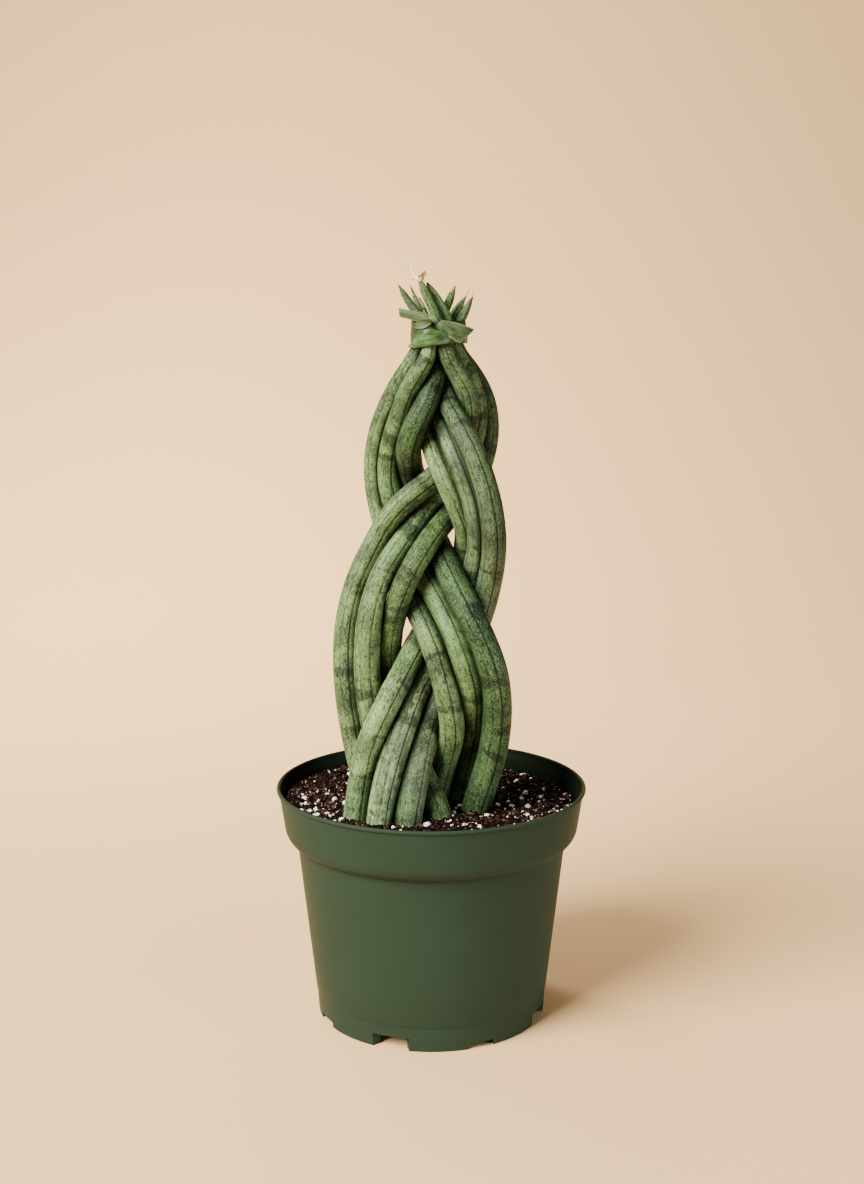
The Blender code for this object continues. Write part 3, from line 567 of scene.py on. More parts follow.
def blurred(values, reach):
    """Values along a leaf, blurred over a reach in mm. Both ends keep their place."""
    steps = int(3 * reach / LEAF_STEP)
    weights = np.exp(-0.5 * (np.arange(-steps, steps + 1) * LEAF_STEP / reach) ** 2)
    values = values.reshape(len(values), -1)
    padded = np.concatenate([2 * values[:1] - values[steps:0:-1], values,
                             2 * values[-1:] - values[-2:-steps - 2:-1]])
    columns = [np.convolve(column, weights / weights.sum(), "valid") for column in padded.T]
    return np.array(columns).T.squeeze()


leaf_lines, leaf_runs = {}, {}
for node in LEAF_LOOKS:
    middles, radii = rings_of(node)
    run = np.concatenate([[0.0], np.cumsum(np.linalg.norm(np.diff(middles, axis=0), axis=1))])
    along = np.linspace(0, run[-1], int(run[-1] / LEAF_STEP))
    centres = blurred(smooth_line(middles, run, along), LINE_SMOOTHING)
    if node in NUDGES:
        height, reach, way = NUDGES[node]
        centres[:, 0] += way * np.exp(-((centres[:, 2] - height) / reach) ** 2)
    leaf_lines[node] = (centres, np.interp(along, run, radii))
    leaf_runs[node] = along
for node, (centres, girths) in leaf_lines.items():
    from_tip = leaf_runs[node][-1] - leaf_runs[node]
    fuller = LEAF_LOOKS[node][-1] * np.exp(-((from_tip - TIP_REACH) / TIP_WIDTH) ** 2)
    leaf_lines[node] = (centres, girths + fuller)


def pressed(node, turn):
    """How far a leaf's skin moves out or in, in mm, where it lies against its neighbours.

    The second result is the painted shade that close neighbours lay on the skin.
    """
    centres, girths = leaf_lines[node]
    across = carried_frames(centres)
    loose = np.clip((leaf_runs[node][-1] - leaf_runs[node] - LOOSE_TIP) / LOOSENING, 0, 1)
    shift = np.zeros((len(centres), len(turn)))
    painted_neighbour_shade = np.zeros((len(centres), len(turn)))
    for other, (points, other_girths) in leaf_lines.items():
        if other == node:
            continue
        gaps = np.linalg.norm(centres[:, None] - points[None], axis=2) - other_girths
        nearest = gaps.argmin(axis=1)
        gap = gaps.min(axis=1) - girths
        toward = points[nearest] - centres
        toward /= np.linalg.norm(toward, axis=1)[:, None]
        beside = np.clip((1.5 * PRESS_REACH - gap) / (PRESS_REACH / 2), 0, 1)
        amount = blurred(np.clip(gap / 2, -PRESS, PRESS) * beside * loose, PRESS_SMOOTHING)
        facing = ((across[:, 0] * toward).sum(axis=1)[:, None] * np.cos(turn)
                  + (across[:, 1] * toward).sum(axis=1)[:, None] * np.sin(turn))
        shift += amount[:, None] * np.clip(facing, 0, 1) ** 5
        # Painted shade where a neighbour lies close and this side of the skin faces it
        close = blurred(np.clip((SHADE_REACH - gap) / SHADE_FADE, 0, 1) * loose,
                        PRESS_SMOOTHING)
        painted_neighbour_shade = np.maximum(painted_neighbour_shade, close[:, None] * np.clip((facing - 0.45) / 0.45, 0, 1) ** 2)
    return np.clip(shift, -PRESS, PRESS), painted_neighbour_shade


rng = np.random.default_rng(41)
for number, (node, look) in enumerate(LEAF_LOOKS.items()):
    lit, middle, dark, tip_green_and_painted_light, dusk, bands, dry_length, dry_colour = look[:-1]
    centres, girths = leaf_lines[node]
    along = leaf_runs[node]
    across = carried_frames(centres)
    front = across @ DEEPEST_FACES
    facing = np.median(np.unwrap(np.arctan2(front[:, 1], front[:, 0])))
    main = round(facing / (2 * math.pi) * LEAF_SIDES)
    # Each groove: its side of the leaf, how strong it is, and its place in the noise
    grooves = [(main % LEAF_SIDES, DEEPEST, rng.uniform(0, 400))]
    groove = rng.integers(*GROOVE_SPACING)
    while groove < LEAF_SIDES - LAST_SPACING:
        grooves.append(((main + groove) % LEAF_SIDES, rng.uniform(0.25, 0.8),
                        rng.uniform(0, 400)))
        groove += rng.integers(*GROOVE_SPACING)
    around = np.arange(LEAF_SIDES)
    inked = np.zeros((len(along), LEAF_SIDES))
    relief = np.zeros((len(along), LEAF_SIDES))
    for groove, strength, offset in grooves:
        apart = np.abs((around - groove + LEAF_SIDES // 2) % LEAF_SIDES - LEAF_SIDES // 2)
        fading = np.array([noise.noise(Vector((offset, groove, s * 0.025))) for s in along])
        fading = np.clip((0.85 + 0.8 * fading) * strength, 0.0, 1.0)
        inked = np.maximum(inked, fading[:, None] * np.choose(np.minimum(apart, 2), (1, 0.5, 0)))
        relief -= ((0.4 + 0.6 * fading[:, None]) * GROOVE_DEPTH
                   * np.exp(-(apart / GROOVE_WIDTH) ** 2))
        relief -= FLUTE_DEPTH * np.exp(-(apart / FLUTE_WIDTH) ** 2)
    turn = 2 * math.pi * around / LEAF_SIDES
    waves = np.array([[noise.noise(Vector((math.cos(a), math.sin(a), s * 0.07 + number * 9)))
                       for a in turn[::8]] for s in along])
    waves = np.repeat(waves, 8, axis=1)
    waves = sum(np.roll(waves, k, axis=1) for k in range(-4, 4)) / 8
    # Grooves and swellings fade out where the leaf narrows to its tip.
    thin = np.clip(girths / THIN_FROM, 0.1, 1.0)[:, None]
    pushed, painted_neighbour_shade = pressed(node, turn)
    reach = girths[:, None] + pushed + (relief + WAVE_DEPTH * waves) * thin
    direction = (across[:, 0, None] * np.cos(turn)[None, :, None]
                 + across[:, 1, None] * np.sin(turn)[None, :, None])
    skin = centres[:, None] + direction * reach[..., None]
    places = np.concatenate([skin.reshape(-1, 3), centres[:1], centres[-1:]])
    material = leaf_material(f"snake plant leaf {node[5:]}".replace("_", " "), lit, middle, dark,
                             tip_green_and_painted_light, bands, dry_colour)
    leaf = mesh_object(node.replace("leaf", "blade"), places * MM,
                       tube_faces(len(along), LEAF_SIDES), material, 70)
    straight = np.stack([reach * np.cos(turn), reach * np.sin(turn),
                         np.repeat(along[:, None] + number * PATTERN_APART, LEAF_SIDES, axis=1)],
                        axis=-1)
    ends = [(0, 0, number * PATTERN_APART), (0, 0, number * PATTERN_APART + along[-1])]
    add_attribute(leaf.data, "straight", "FLOAT_VECTOR",
                  np.concatenate([straight.reshape(-1, 3), ends]) * MM)
    add_attribute(leaf.data, "groove", "FLOAT", np.concatenate([(inked * thin).ravel(), [0, 0]]))
    from_tip = along[-1] - along[:, None] + DRY_RAGGED * np.roll(waves, 7, axis=1)
    dry = np.clip((dry_length - from_tip) / DRY_FADE + 0.5, 0, 1)
    add_attribute(leaf.data, "dry", "FLOAT", np.concatenate([dry.ravel(), [0, 1]]))
    height = centres[:, 2:]
    above = np.repeat(np.clip((height - TIED_HEIGHT) / TIED_OVER, 0, 1), LEAF_SIDES, axis=1)
    add_attribute(leaf.data, "above_tie", "FLOAT", np.concatenate([above.ravel(), [0, 1]]))
    # Painted shade: the skin is darkened over a span of heights below the tie and where a neighbour
    # lies close.
    high = (np.clip((height - DARKER_FROM) / DARKER_OVER, 0, 1)
            - np.clip((height - PALE_FROM) / PALE_OVER, 0, 1))
    darker = dusk * high + SHADED_SIDE * painted_neighbour_shade * thin
    add_attribute(leaf.data, "dusk", "FLOAT", np.concatenate([darker.ravel(), [0, 0]]))
    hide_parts(node)
    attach(leaf, "root")


# Soil: damp peat with white perlite, filled to a few millimetres below the rim. Its closed body
# has a crumbly top with a hole for each leaf, and loose grains lie on it.
SOIL_LEVEL, SOIL_SLOPE, SOIL_MOUND = 107.4, (-0.030, -0.012), (0.0, -24.0, 30.0, 0.7)
SOIL_RIM, SOIL_SIDES, SOIL_RINGS, SOIL_GAP, HOLE_DEPTH = 71.3, 300, 110, 0.3, 20.0
# The bed's lumps: how high they rise in mm, how many lie on a mm, and their layer of the noise
BED_LUMPS = ((0.9, 0.22, 3.0), (1.1, 0.55, 7.0), (0.55, 1.3, 11.0))
# How high the soil is heaped against a leaf and how far that reaches, in mm
HEAP, HEAP_REACH = 0.7, 1.6
# Perlite lies thickest at the front left and at the right: place, reach and share of each patch
PERLITE_PATCHES = ((-46, -30, 30, 0.9), (52, -26, 24, 0.6))
PERLITE_ELSEWHERE, PERLITE_DRIFTS, PERLITE_LEAST, PERLITE_MOST = 0.45, 1.2, 0.08, 1.6


def soil_height(x, y):
    """Level of the soil at a place: a slope, a low mound round the plant, and its lumps."""
    mound_x, mound_y, reach, rise = SOIL_MOUND
    away = np.hypot(x - mound_x, y - mound_y)
    lumps = np.sin(0.31 * x + 1.3) * np.cos(0.27 * y) + 0.6 * np.sin(0.53 * x - 0.41 * y)
    slope = SOIL_SLOPE[0] * x + SOIL_SLOPE[1] * y
    return SOIL_LEVEL + slope + rise * np.exp(-(away / reach) ** 2) + 0.35 * lumps


def stem_clearance(x, y, height):
    """How far a place on the soil is from the nearest leaf's skin. It's negative inside."""
    nearest = np.full(np.shape(x), 1e3)
    for centres, girths in leaf_lines.values():
        stem_x = np.interp(height, centres[:, 2], centres[:, 0])
        stem_y = np.interp(height, centres[:, 2], centres[:, 1])
        girth = np.interp(height, centres[:, 2], girths)
        nearest = np.minimum(nearest, np.hypot(x - stem_x, y - stem_y) - girth)
    return nearest


# Damp peat is a matt, nearly black brown.
peat, tree, shader = new_material("damp peat")
place = add_node(tree, "ShaderNodeTexCoord").outputs["Object"]
# Crumbs of about 1 mm, each with a brown of its own
crumb = add_node(tree, "ShaderNodeTexVoronoi", {"Vector": place, "Scale": 1100.0})
tone = add_node(tree, "ShaderNodeSeparateColor", {"Color": crumb.outputs["Color"]})
ramp = add_node(tree, "ShaderNodeValToRGB", {"Fac": tone.outputs[0]})
ramp.color_ramp.elements[0].color = linear("#060302")
ramp.color_ramp.elements[1].color = linear("#241A14")
ramp.color_ramp.elements.new(0.6).color = linear("#0E0907")
tree.links.new(ramp.outputs["Color"], shader.inputs["Base Color"])
shader.inputs["Roughness"].default_value = 0.9
shader.inputs["Specular IOR Level"].default_value = 0.03
grit = add_node(tree, "ShaderNodeTexNoise", {"Vector": place, "Scale": 1500.0, "Detail": 4.0})
relief = add_node(tree, "ShaderNodeBump", {"Height": grit.outputs["Fac"], "Distance": 0.0009})
tree.links.new(relief.outputs["Normal"], shader.inputs["Normal"])

low = FLOOR_TOP + SOIL_GAP
corner = body_radius(low) - WALL - SOIL_GAP
profile = [(0.0, low), (corner - FLOOR_ROUND - 0.4, low), (corner, low + FLOOR_ROUND + 0.2)]
profile += shoulder(WALL + SOIL_GAP + 0.1, 6)
profile += [(SOIL_RIM * share, SOIL_LEVEL) for share in np.linspace(1, 0, SOIL_RINGS)]
places, faces = turned(profile, SOIL_SIDES)
top = places[:, 2] == SOIL_LEVEL
x, y = places[top, 0], places[top, 1]
level = soil_height(x, y)
lumps = np.array([sum(rise * noise.noise(Vector((a * fine, b * fine, layer)))
                      for rise, fine, layer in BED_LUMPS) for a, b in zip(x, y)])
from_rim = np.clip((SOIL_RIM - np.hypot(x, y)) / 3.0, 0, 1)
clear = stem_clearance(x, y, level)
heaped = HEAP * np.exp(-np.clip(clear, 0, None) / HEAP_REACH)
level = level + lumps * from_rim + heaped - 0.4
level = np.where(clear < -0.9, level - HOLE_DEPTH, level)
places[top, 2] = level
soil = mesh_object("peat_bed", places * MM, faces, peat, 60)
# Grains keep a little clear of the leaves and of the pot's wall.
thick = np.zeros(len(places))
thick[top] = np.clip((clear - 0.1) / 0.5, 0, 1) * np.clip((71.0 - np.hypot(x, y)) / 0.8, 0, 1)
add_attribute(soil.data, "bare", "FLOAT", thick)
share = PERLITE_ELSEWHERE
for patch_x, patch_y, reach, more in PERLITE_PATCHES:
    share = share + more * np.exp(-(np.hypot(x - patch_x, y - patch_y) / reach) ** 2)
drift = np.array([noise.noise(Vector((a * 0.09, b * 0.09, 21.0))) for a, b in zip(x, y)])
white = np.zeros(len(places))
white[top] = thick[top] * np.clip(share + PERLITE_DRIFTS * drift, PERLITE_LEAST, PERLITE_MOST)
add_attribute(soil.data, "whiteness", "FLOAT", white)
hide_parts("soil")
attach(soil, "root")


def grain_tree():
    """Geometry nodes that scatter lumpy grains over a surface, each with a size and a tone."""
    tree = bpy.data.node_groups.new("scatter grains", "GeometryNodeTree")
    for name, kind, default in (
            ("Geometry", "NodeSocketGeometry", None), ("Where", "NodeSocketString", "bare"),
            ("Per Square Metre", "NodeSocketFloat", 1000.0),
            ("Smallest", "NodeSocketFloat", 0.001), ("Largest", "NodeSocketFloat", 0.002),
            ("Flatness", "NodeSocketVector", (1.0, 1.0, 1.0)),
            ("Lumpiness", "NodeSocketFloat", 0.5), ("Faces", "NodeSocketInt", 2),
            ("Seed", "NodeSocketInt", 1), ("Material", "NodeSocketMaterial", None)):
        socket = tree.interface.new_socket(name=name, in_out="INPUT", socket_type=kind)
        if default is not None:
            socket.default_value = default
    tree.interface.new_socket(name="Geometry", in_out="OUTPUT", socket_type="NodeSocketGeometry")
    given = add_node(tree, "NodeGroupInput").outputs
    where = add_node(tree, "GeometryNodeInputNamedAttribute", {"Name": given["Where"]},
                     data_type="FLOAT")
    density = add_node(tree, "ShaderNodeMath", {
        0: where.outputs["Attribute"], 1: given["Per Square Metre"]}, operation="MULTIPLY")
    points = add_node(tree, "GeometryNodeDistributePointsOnFaces", {
        "Mesh": given["Geometry"], "Density": density.outputs[0], "Seed": given["Seed"]})
    # Small grains are far more common than large ones, so each draw is squared.
    draw = add_node(tree, "FunctionNodeRandomValue", {
        2: 0.0, 3: 1.0, "Seed": given["Seed"]}, data_type="FLOAT")
    often = add_node(tree, "ShaderNodeMath", {0: draw.outputs[1], 1: 2.0}, operation="POWER")
    size = add_node(tree, "ShaderNodeMapRange", {
        "Value": often.outputs[0], "To Min": given["Smallest"], "To Max": given["Largest"]})
    shape = add_node(tree, "FunctionNodeRandomValue", {
        0: (0.7, 0.7, 0.6), 1: (1.3, 1.3, 1.0), "Seed": given["Seed"]},
        data_type="FLOAT_VECTOR")
    flat = add_node(tree, "ShaderNodeVectorMath", {0: shape.outputs[0], 1: given["Flatness"]},
                    operation="MULTIPLY")
    scale = add_node(tree, "ShaderNodeVectorMath", {0: flat.outputs[0],
                                                    "Scale": size.outputs["Result"]},
                     operation="SCALE")
    turn = add_node(tree, "FunctionNodeRandomValue", {
        0: (-0.5, -0.5, 0.0), 1: (0.5, 0.5, 6.283), "Seed": given["Seed"]},
        data_type="FLOAT_VECTOR")
    ball = add_node(tree, "GeometryNodeMeshIcoSphere", {
        "Radius": 0.5, "Subdivisions": given["Faces"]})
    grains = add_node(tree, "GeometryNodeInstanceOnPoints", {
        "Points": points.outputs["Points"], "Instance": ball.outputs["Mesh"],
        "Rotation": turn.outputs[0], "Scale": scale.outputs[0]})
    sized = add_node(tree, "GeometryNodeStoreNamedAttribute", {
        "Geometry": grains.outputs[0], "Name": "size", "Value": size.outputs["Result"]},
        data_type="FLOAT", domain="INSTANCE")
    tone = add_node(tree, "FunctionNodeRandomValue", {2: 0.0, 3: 1.0, "Seed": 77},
                    data_type="FLOAT")
    toned = add_node(tree, "GeometryNodeStoreNamedAttribute", {
        "Geometry": sized.outputs[0], "Name": "tone", "Value": tone.outputs[1]},
        data_type="FLOAT", domain="INSTANCE")
    real = add_node(tree, "GeometryNodeRealizeInstances", {"Geometry": toned.outputs[0]})
    size_here = add_node(tree, "GeometryNodeInputNamedAttribute", {"Name": "size"},
                         data_type="FLOAT")
    spot = add_node(tree, "GeometryNodeInputPosition")
    rough = add_node(tree, "ShaderNodeTexNoise", {
        "Vector": spot.outputs[0], "Scale": 900.0, "Detail": 2.0})
    shift = add_node(tree, "ShaderNodeVectorMath", {0: rough.outputs["Color"],
                                                    1: (0.5, 0.5, 0.5)}, operation="SUBTRACT")
    push = add_node(tree, "ShaderNodeMath", {0: size_here.outputs["Attribute"],
                                             1: given["Lumpiness"]}, operation="MULTIPLY")
    offset = add_node(tree, "ShaderNodeVectorMath", {0: shift.outputs[0],
                                                     "Scale": push.outputs[0]},
                      operation="SCALE")
    lumpy = add_node(tree, "GeometryNodeSetPosition", {
        "Geometry": real.outputs[0], "Offset": offset.outputs[0]})
    painted = add_node(tree, "GeometryNodeSetMaterial", {
        "Geometry": lumpy.outputs[0], "Material": given["Material"]})
    add_node(tree, "NodeGroupOutput", {"Geometry": painted.outputs[0]})
    return tree


def scatter(name, tree, carrier, inputs, smooth_degrees):
    """Grains on a copy of the carrier, as a plain mesh that rides on the plant."""
    obj = bpy.data.objects.new(name, carrier.data.copy())
    bpy.context.scene.collection.objects.link(obj)
    modifier = obj.modifiers.new("Scatter", "NODES")
    modifier.node_group = tree
    for socket in tree.interface.items_tree:
        if socket.in_out == "INPUT" and socket.name in inputs:
            modifier[socket.identifier] = inputs[socket.name]
    apply_modifiers(obj)
    obj.data.shade_smooth()
    obj.data.set_sharp_from_angle(angle=math.radians(smooth_degrees))
    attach(obj, "root")


# Glass rock popped by heat: chalk white, with burst pores of about 0.8 mm and a few peaty stains
perlite, tree, shader = new_material("expanded perlite")
place = add_node(tree, "ShaderNodeTexCoord").outputs["Object"]
pores = add_node(tree, "ShaderNodeTexVoronoi", {"Vector": place, "Scale": 1100.0})
stain = add_node(tree, "ShaderNodeTexNoise", {"Vector": place, "Scale": 500.0, "Detail": 3.0})
chalk = stained(tree, linear("#F2E9E0"), stain.outputs["Fac"], 0.55, 0.80, 0.55, "#8A7C70")
# Painted shade: each pore darkens towards its middle.
chalk = stained(tree, chalk, pores.outputs["Distance"], 0.36, 0.18, 0.75, "#6A5D54")
tree.links.new(chalk, shader.inputs["Base Color"])
shader.inputs["Roughness"].default_value = 0.8
pitted = add_node(tree, "ShaderNodeBump", {"Height": pores.outputs["Distance"],
                                           "Distance": 0.0005})
tree.links.new(pitted.outputs["Normal"], shader.inputs["Normal"])

# Loose bits of peat and bark, from nearly black to a dry light brown, each with a tone of its own
loose, tree, shader = new_material("peat crumbs and bark")
tone = add_node(tree, "ShaderNodeAttribute", attribute_name="tone").outputs["Fac"]
ramp = add_node(tree, "ShaderNodeValToRGB", {"Fac": tone})
ramp.color_ramp.elements[0].color = linear("#0A0605")
ramp.color_ramp.elements[1].color = linear("#6E5848")
for stop, colour in ((0.5, "#1A110D"), (0.86, "#3F2D22")):
    ramp.color_ramp.elements.new(stop).color = linear(colour)
tree.links.new(ramp.outputs["Color"], shader.inputs["Base Color"])
shader.inputs["Roughness"].default_value = 0.9
shader.inputs["Specular IOR Level"].default_value = 0.03
place = add_node(tree, "ShaderNodeTexCoord").outputs["Object"]
grit = add_node(tree, "ShaderNodeTexNoise", {"Vector": place, "Scale": 1800.0, "Detail": 3.0})
relief = add_node(tree, "ShaderNodeBump", {"Height": grit.outputs["Fac"], "Distance": 0.0004})
tree.links.new(relief.outputs["Normal"], shader.inputs["Normal"])

grains = grain_tree()
# Each kind of grain: how many lie on a square metre, its least and greatest size in mm, what else
# the tree is told, and the angle in degrees under which its faces are shaded smooth
GRAINS = {
    "peat_crumbs": (560000.0, 0.6, 2.0, {
        "Lumpiness": 0.9, "Faces": 1, "Seed": 3, "Material": loose}, 40),
    "bark_chips": (22000.0, 1.6, 5.0, {
        "Flatness": (1.5, 0.55, 0.35), "Lumpiness": 0.5, "Faces": 2, "Seed": 8,
        "Material": loose}, 35),
    "perlite_grains": (22000.0, 0.9, 3.5, {
        "Where": "whiteness", "Flatness": (1.0, 1.0, 1.15), "Lumpiness": 0.62, "Faces": 2,
        "Seed": 5, "Material": perlite}, 80),
    "perlite_dust": (60000.0, 0.4, 1.1, {
        "Where": "whiteness", "Lumpiness": 0.6, "Faces": 1, "Seed": 9, "Material": perlite}, 80),
}
for name, (number, smallest, largest, others, smooth_degrees) in GRAINS.items():
    scatter(name, grains, soil, {
        "Per Square Metre": number, "Smallest": smallest * MM, "Largest": largest * MM, **others},
        smooth_degrees)


# Dry ends: the papery husk and the fine hairs that are left where leaf tips have withered. Each
# hair goes on from its leaf's own tip, and the husk is a torn cup of skin round the highest tip.
HAIR_SIDES = 6
HUSK_LEAF, HUSK_RINGS, HUSK_SIDES = "leaf_right_inner", 12, 40
HUSK_LENGTH, HUSK_FOOT, HUSK_MOUTH, HUSK_SHIFT = 3.3, 1.1, 2.7, (0.5, -0.5, 0.3)
# How far below the tip the husk starts, and how deep its bottom lies under its mouth
HUSK_SINK, HUSK_DEPTH = 1.1, 1.8
# Each hair: its leaf, steps (x, y, z) in mm from the tip, its first and last radius, its colour
HAIRS = (
    ("leaf_right_inner", ((-0.9, 0.0, 0.9), (-2.4, -0.2, 2.3), (-3.3, 0.2, 4.3), (-3.9, 0.6, 6.2),
                          (-4.5, 0.9, 8.1), (-5.4, 1.2, 9.2), (-7.4, 1.3, 9.6)), 0.32, 0.08,
     "#FFF2DA"),
    ("leaf_right_inner", ((-0.6, -0.2, 0.6), (-2.0, 0.6, 2.1), (-2.9, 1.0, 4.4),
                          (-4.6, 1.3, 7.6), (-7.0, 1.3, 8.3)), 0.24, 0.06, "#FFF2DA"),
    ("leaf_back_outer", ((0.1, 0.0, 0.3), (0.9, 0.1, 1.8), (2.2, 0.2, 3.6)), 0.26, 0.10,
     "#7A5440"),
    ("leaf_right_outer", ((0.0, 0.0, 0.3), (0.2, 0.1, 1.4), (0.1, 0.3, 3.0)), 0.24, 0.08,
     "#7C4A38"),
    ("leaf_left_inner", ((0.2, 0.0, 0.4), (0.9, 0.0, 1.6), (1.5, 0.2, 2.4)), 0.30, 0.12,
     "#CDAA84"),
    ("leaf_left_outer", ((-0.1, 0.0, 0.3), (-0.3, 0.1, 1.2)), 0.22, 0.10, "#5A4234"),
    ("leaf_left_middle", ((-0.2, 0.0, 0.2), (-0.7, 0.1, 0.9)), 0.34, 0.14, "#4A382C"),
)


def tapered_tube(points, first_radius, last_radius, sides):
    """Places and faces of a thin round tube along points in mm that narrows to its end."""
    points = np.asarray(points, float)
    run = np.concatenate([[0.0], np.cumsum(np.linalg.norm(np.diff(points, axis=0), axis=1))])
    along = np.linspace(0, run[-1], 6 * len(points))
    centres = smooth_line(points, run, along)
    across = carried_frames(centres)
    turn = np.linspace(0, 2 * math.pi, sides, endpoint=False)
    radius = np.linspace(first_radius, last_radius, len(along))[:, None, None]
    rings = centres[:, None] + radius * (across[:, 0, None] * np.cos(turn)[None, :, None]
                                         + across[:, 1, None] * np.sin(turn)[None, :, None])
    places = np.concatenate([rings.reshape(-1, 3), centres[:1], centres[-1:]])
    return places, tube_faces(len(along), sides)


# Withered skin dries to a matt, cream-coloured paper that is brown in its folds.
papery, tree, shader = new_material("papery dried leaf skin")
place = add_node(tree, "ShaderNodeTexCoord").outputs["Object"]
fold = add_node(tree, "ShaderNodeTexNoise", {"Vector": place, "Scale": 900.0, "Detail": 2.0})
ramp = add_node(tree, "ShaderNodeValToRGB", {"Fac": fold.outputs["Fac"]})
ramp.color_ramp.elements[0].position = 0.32
ramp.color_ramp.elements[0].color = linear("#876A54")
ramp.color_ramp.elements[1].position = 0.42
ramp.color_ramp.elements[1].color = linear("#FBDDB0")
tree.links.new(ramp.outputs["Color"], shader.inputs["Base Color"])
shader.inputs["Roughness"].default_value = 0.75
shader.inputs["Specular IOR Level"].default_value = 0.2
tip_line = leaf_lines[HUSK_LEAF][0]
ahead = tip_line[-1] - tip_line[-4]
ahead /= np.linalg.norm(ahead)
side = np.cross(ahead, (0.0, 1.0, 0.0))
side /= np.linalg.norm(side)
turn = np.linspace(0, 2 * math.pi, HUSK_SIDES, endpoint=False)
rings = []
for share in np.linspace(0, 1, HUSK_RINGS):
    crumple = np.array([noise.noise(Vector((1.6 * math.cos(a), 1.6 * math.sin(a), share * 2.2)))
                        for a in turn])
    torn = np.array([noise.noise(Vector((2.1 * math.cos(a), 2.1 * math.sin(a), 9.0)))
                     for a in turn])
    wide = (HUSK_FOOT + (HUSK_MOUTH - HUSK_FOOT) * share ** 0.7) * (1 + 0.9 * share * crumple)
    far = HUSK_LENGTH * share * (1 + 0.8 * torn)
    across = (side[None] * np.cos(turn)[:, None] + np.cross(ahead, side)[None]
              * np.sin(turn)[:, None])
    rings.append(tip_line[-1] - HUSK_SINK * ahead + np.array(HUSK_SHIFT) * share
                 + far[:, None] * ahead + wide[:, None] * across)
bottom = rings[-1].mean(axis=0) - HUSK_DEPTH * ahead
places = np.concatenate(rings + [[rings[0].mean(axis=0)], [bottom]])
husk = mesh_object("dry_husk", places * MM, tube_faces(HUSK_RINGS, HUSK_SIDES), papery, 40)
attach(husk, "root")

# A hair is a dried fibre bundle, matt and plain in its colour.
for number, (node, steps, first_radius, last_radius, colour) in enumerate(HAIRS):
    tip_line = leaf_lines[node][0]
    places, faces = tapered_tube([tip_line[-3]] + [tip_line[-1] + step for step in steps],
                                 first_radius, last_radius, HAIR_SIDES)
    withered, tree, shader = new_material(f"withered leaf hair {number + 1}")
    shader.inputs["Base Color"].default_value = linear(colour)
    shader.inputs["Roughness"].default_value = 0.7
    shader.inputs["Specular IOR Level"].default_value = 0.2
    hair = mesh_object(f"dry_hair_{number + 1}", places * MM, faces, withered, 60)
    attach(hair, "root")


# Tie: a flat strip of fresh leaf 8 mm wide, wound three times round the neck. It's knotted in
# front, with a split tail to the left and a broad, slantwise cut tail to the right.
STRIP_THICK, VEIN_APART, VEIN_RELIEF, RIPPLE = 0.5, 1.1, 0.05, 0.35
NECK_CENTRE, TIE_SPAN = np.array([3.0, -9.0]), (328.6, 340.0)
WIDTH_STEPS, WINDING_STEPS, END_STEPS = 15, 480, 60
# Where along the winding its front turn begins, and over what share it comes up out of the painted
# shade of the turns under it
FRONT_TURN, FRONT_TURN_OVER = 0.60, 0.05
WINDING_BULGE, WINDING_SEED = 0.15, 9
# The winding, from its hidden start at the back: the angle from the front towards the right,
# the heights of its lower and upper edges, and how far it lies outside the leaves
WINDING = (
    (-200, 335.2, 340.0, 0.35), (-90, 335.7, 340.8, 0.35), (-40, 335.6, 340.7, 0.30),
    (-18, 335.4, 340.2, -0.20), (-6, 334.6, 336.9, -0.90), (4, 334.6, 337.2, -0.90),
    (18, 335.4, 340.0, -0.10), (40, 335.4, 340.3, 0.20),
    (90, 334.8, 340.0, 0.40), (170, 333.0, 339.0, 0.45), (240, 330.5, 337.2, 0.75),
    (270, 329.2, 336.7, 0.80), (330, 329.6, 336.7, 0.80), (360, 330.0, 336.8, 0.80),
    (450, 329.8, 336.8, 0.85), (530, 329.4, 335.8, 0.95), (600, 328.2, 333.6, 1.20),
    (635, 327.8, 329.2, 1.50), (656, 327.8, 329.4, 1.80), (671, 328.0, 330.4, 2.00),
    (693, 328.3, 334.8, 2.20), (707, 328.8, 336.9, 2.30), (723, 329.5, 336.2, 2.10),
    (745, 330.3, 335.0, 1.50), (780, 330.0, 334.8, 1.40), (820, 329.6, 335.2, 1.35),
    (900, 330.2, 335.0, 1.30),
)
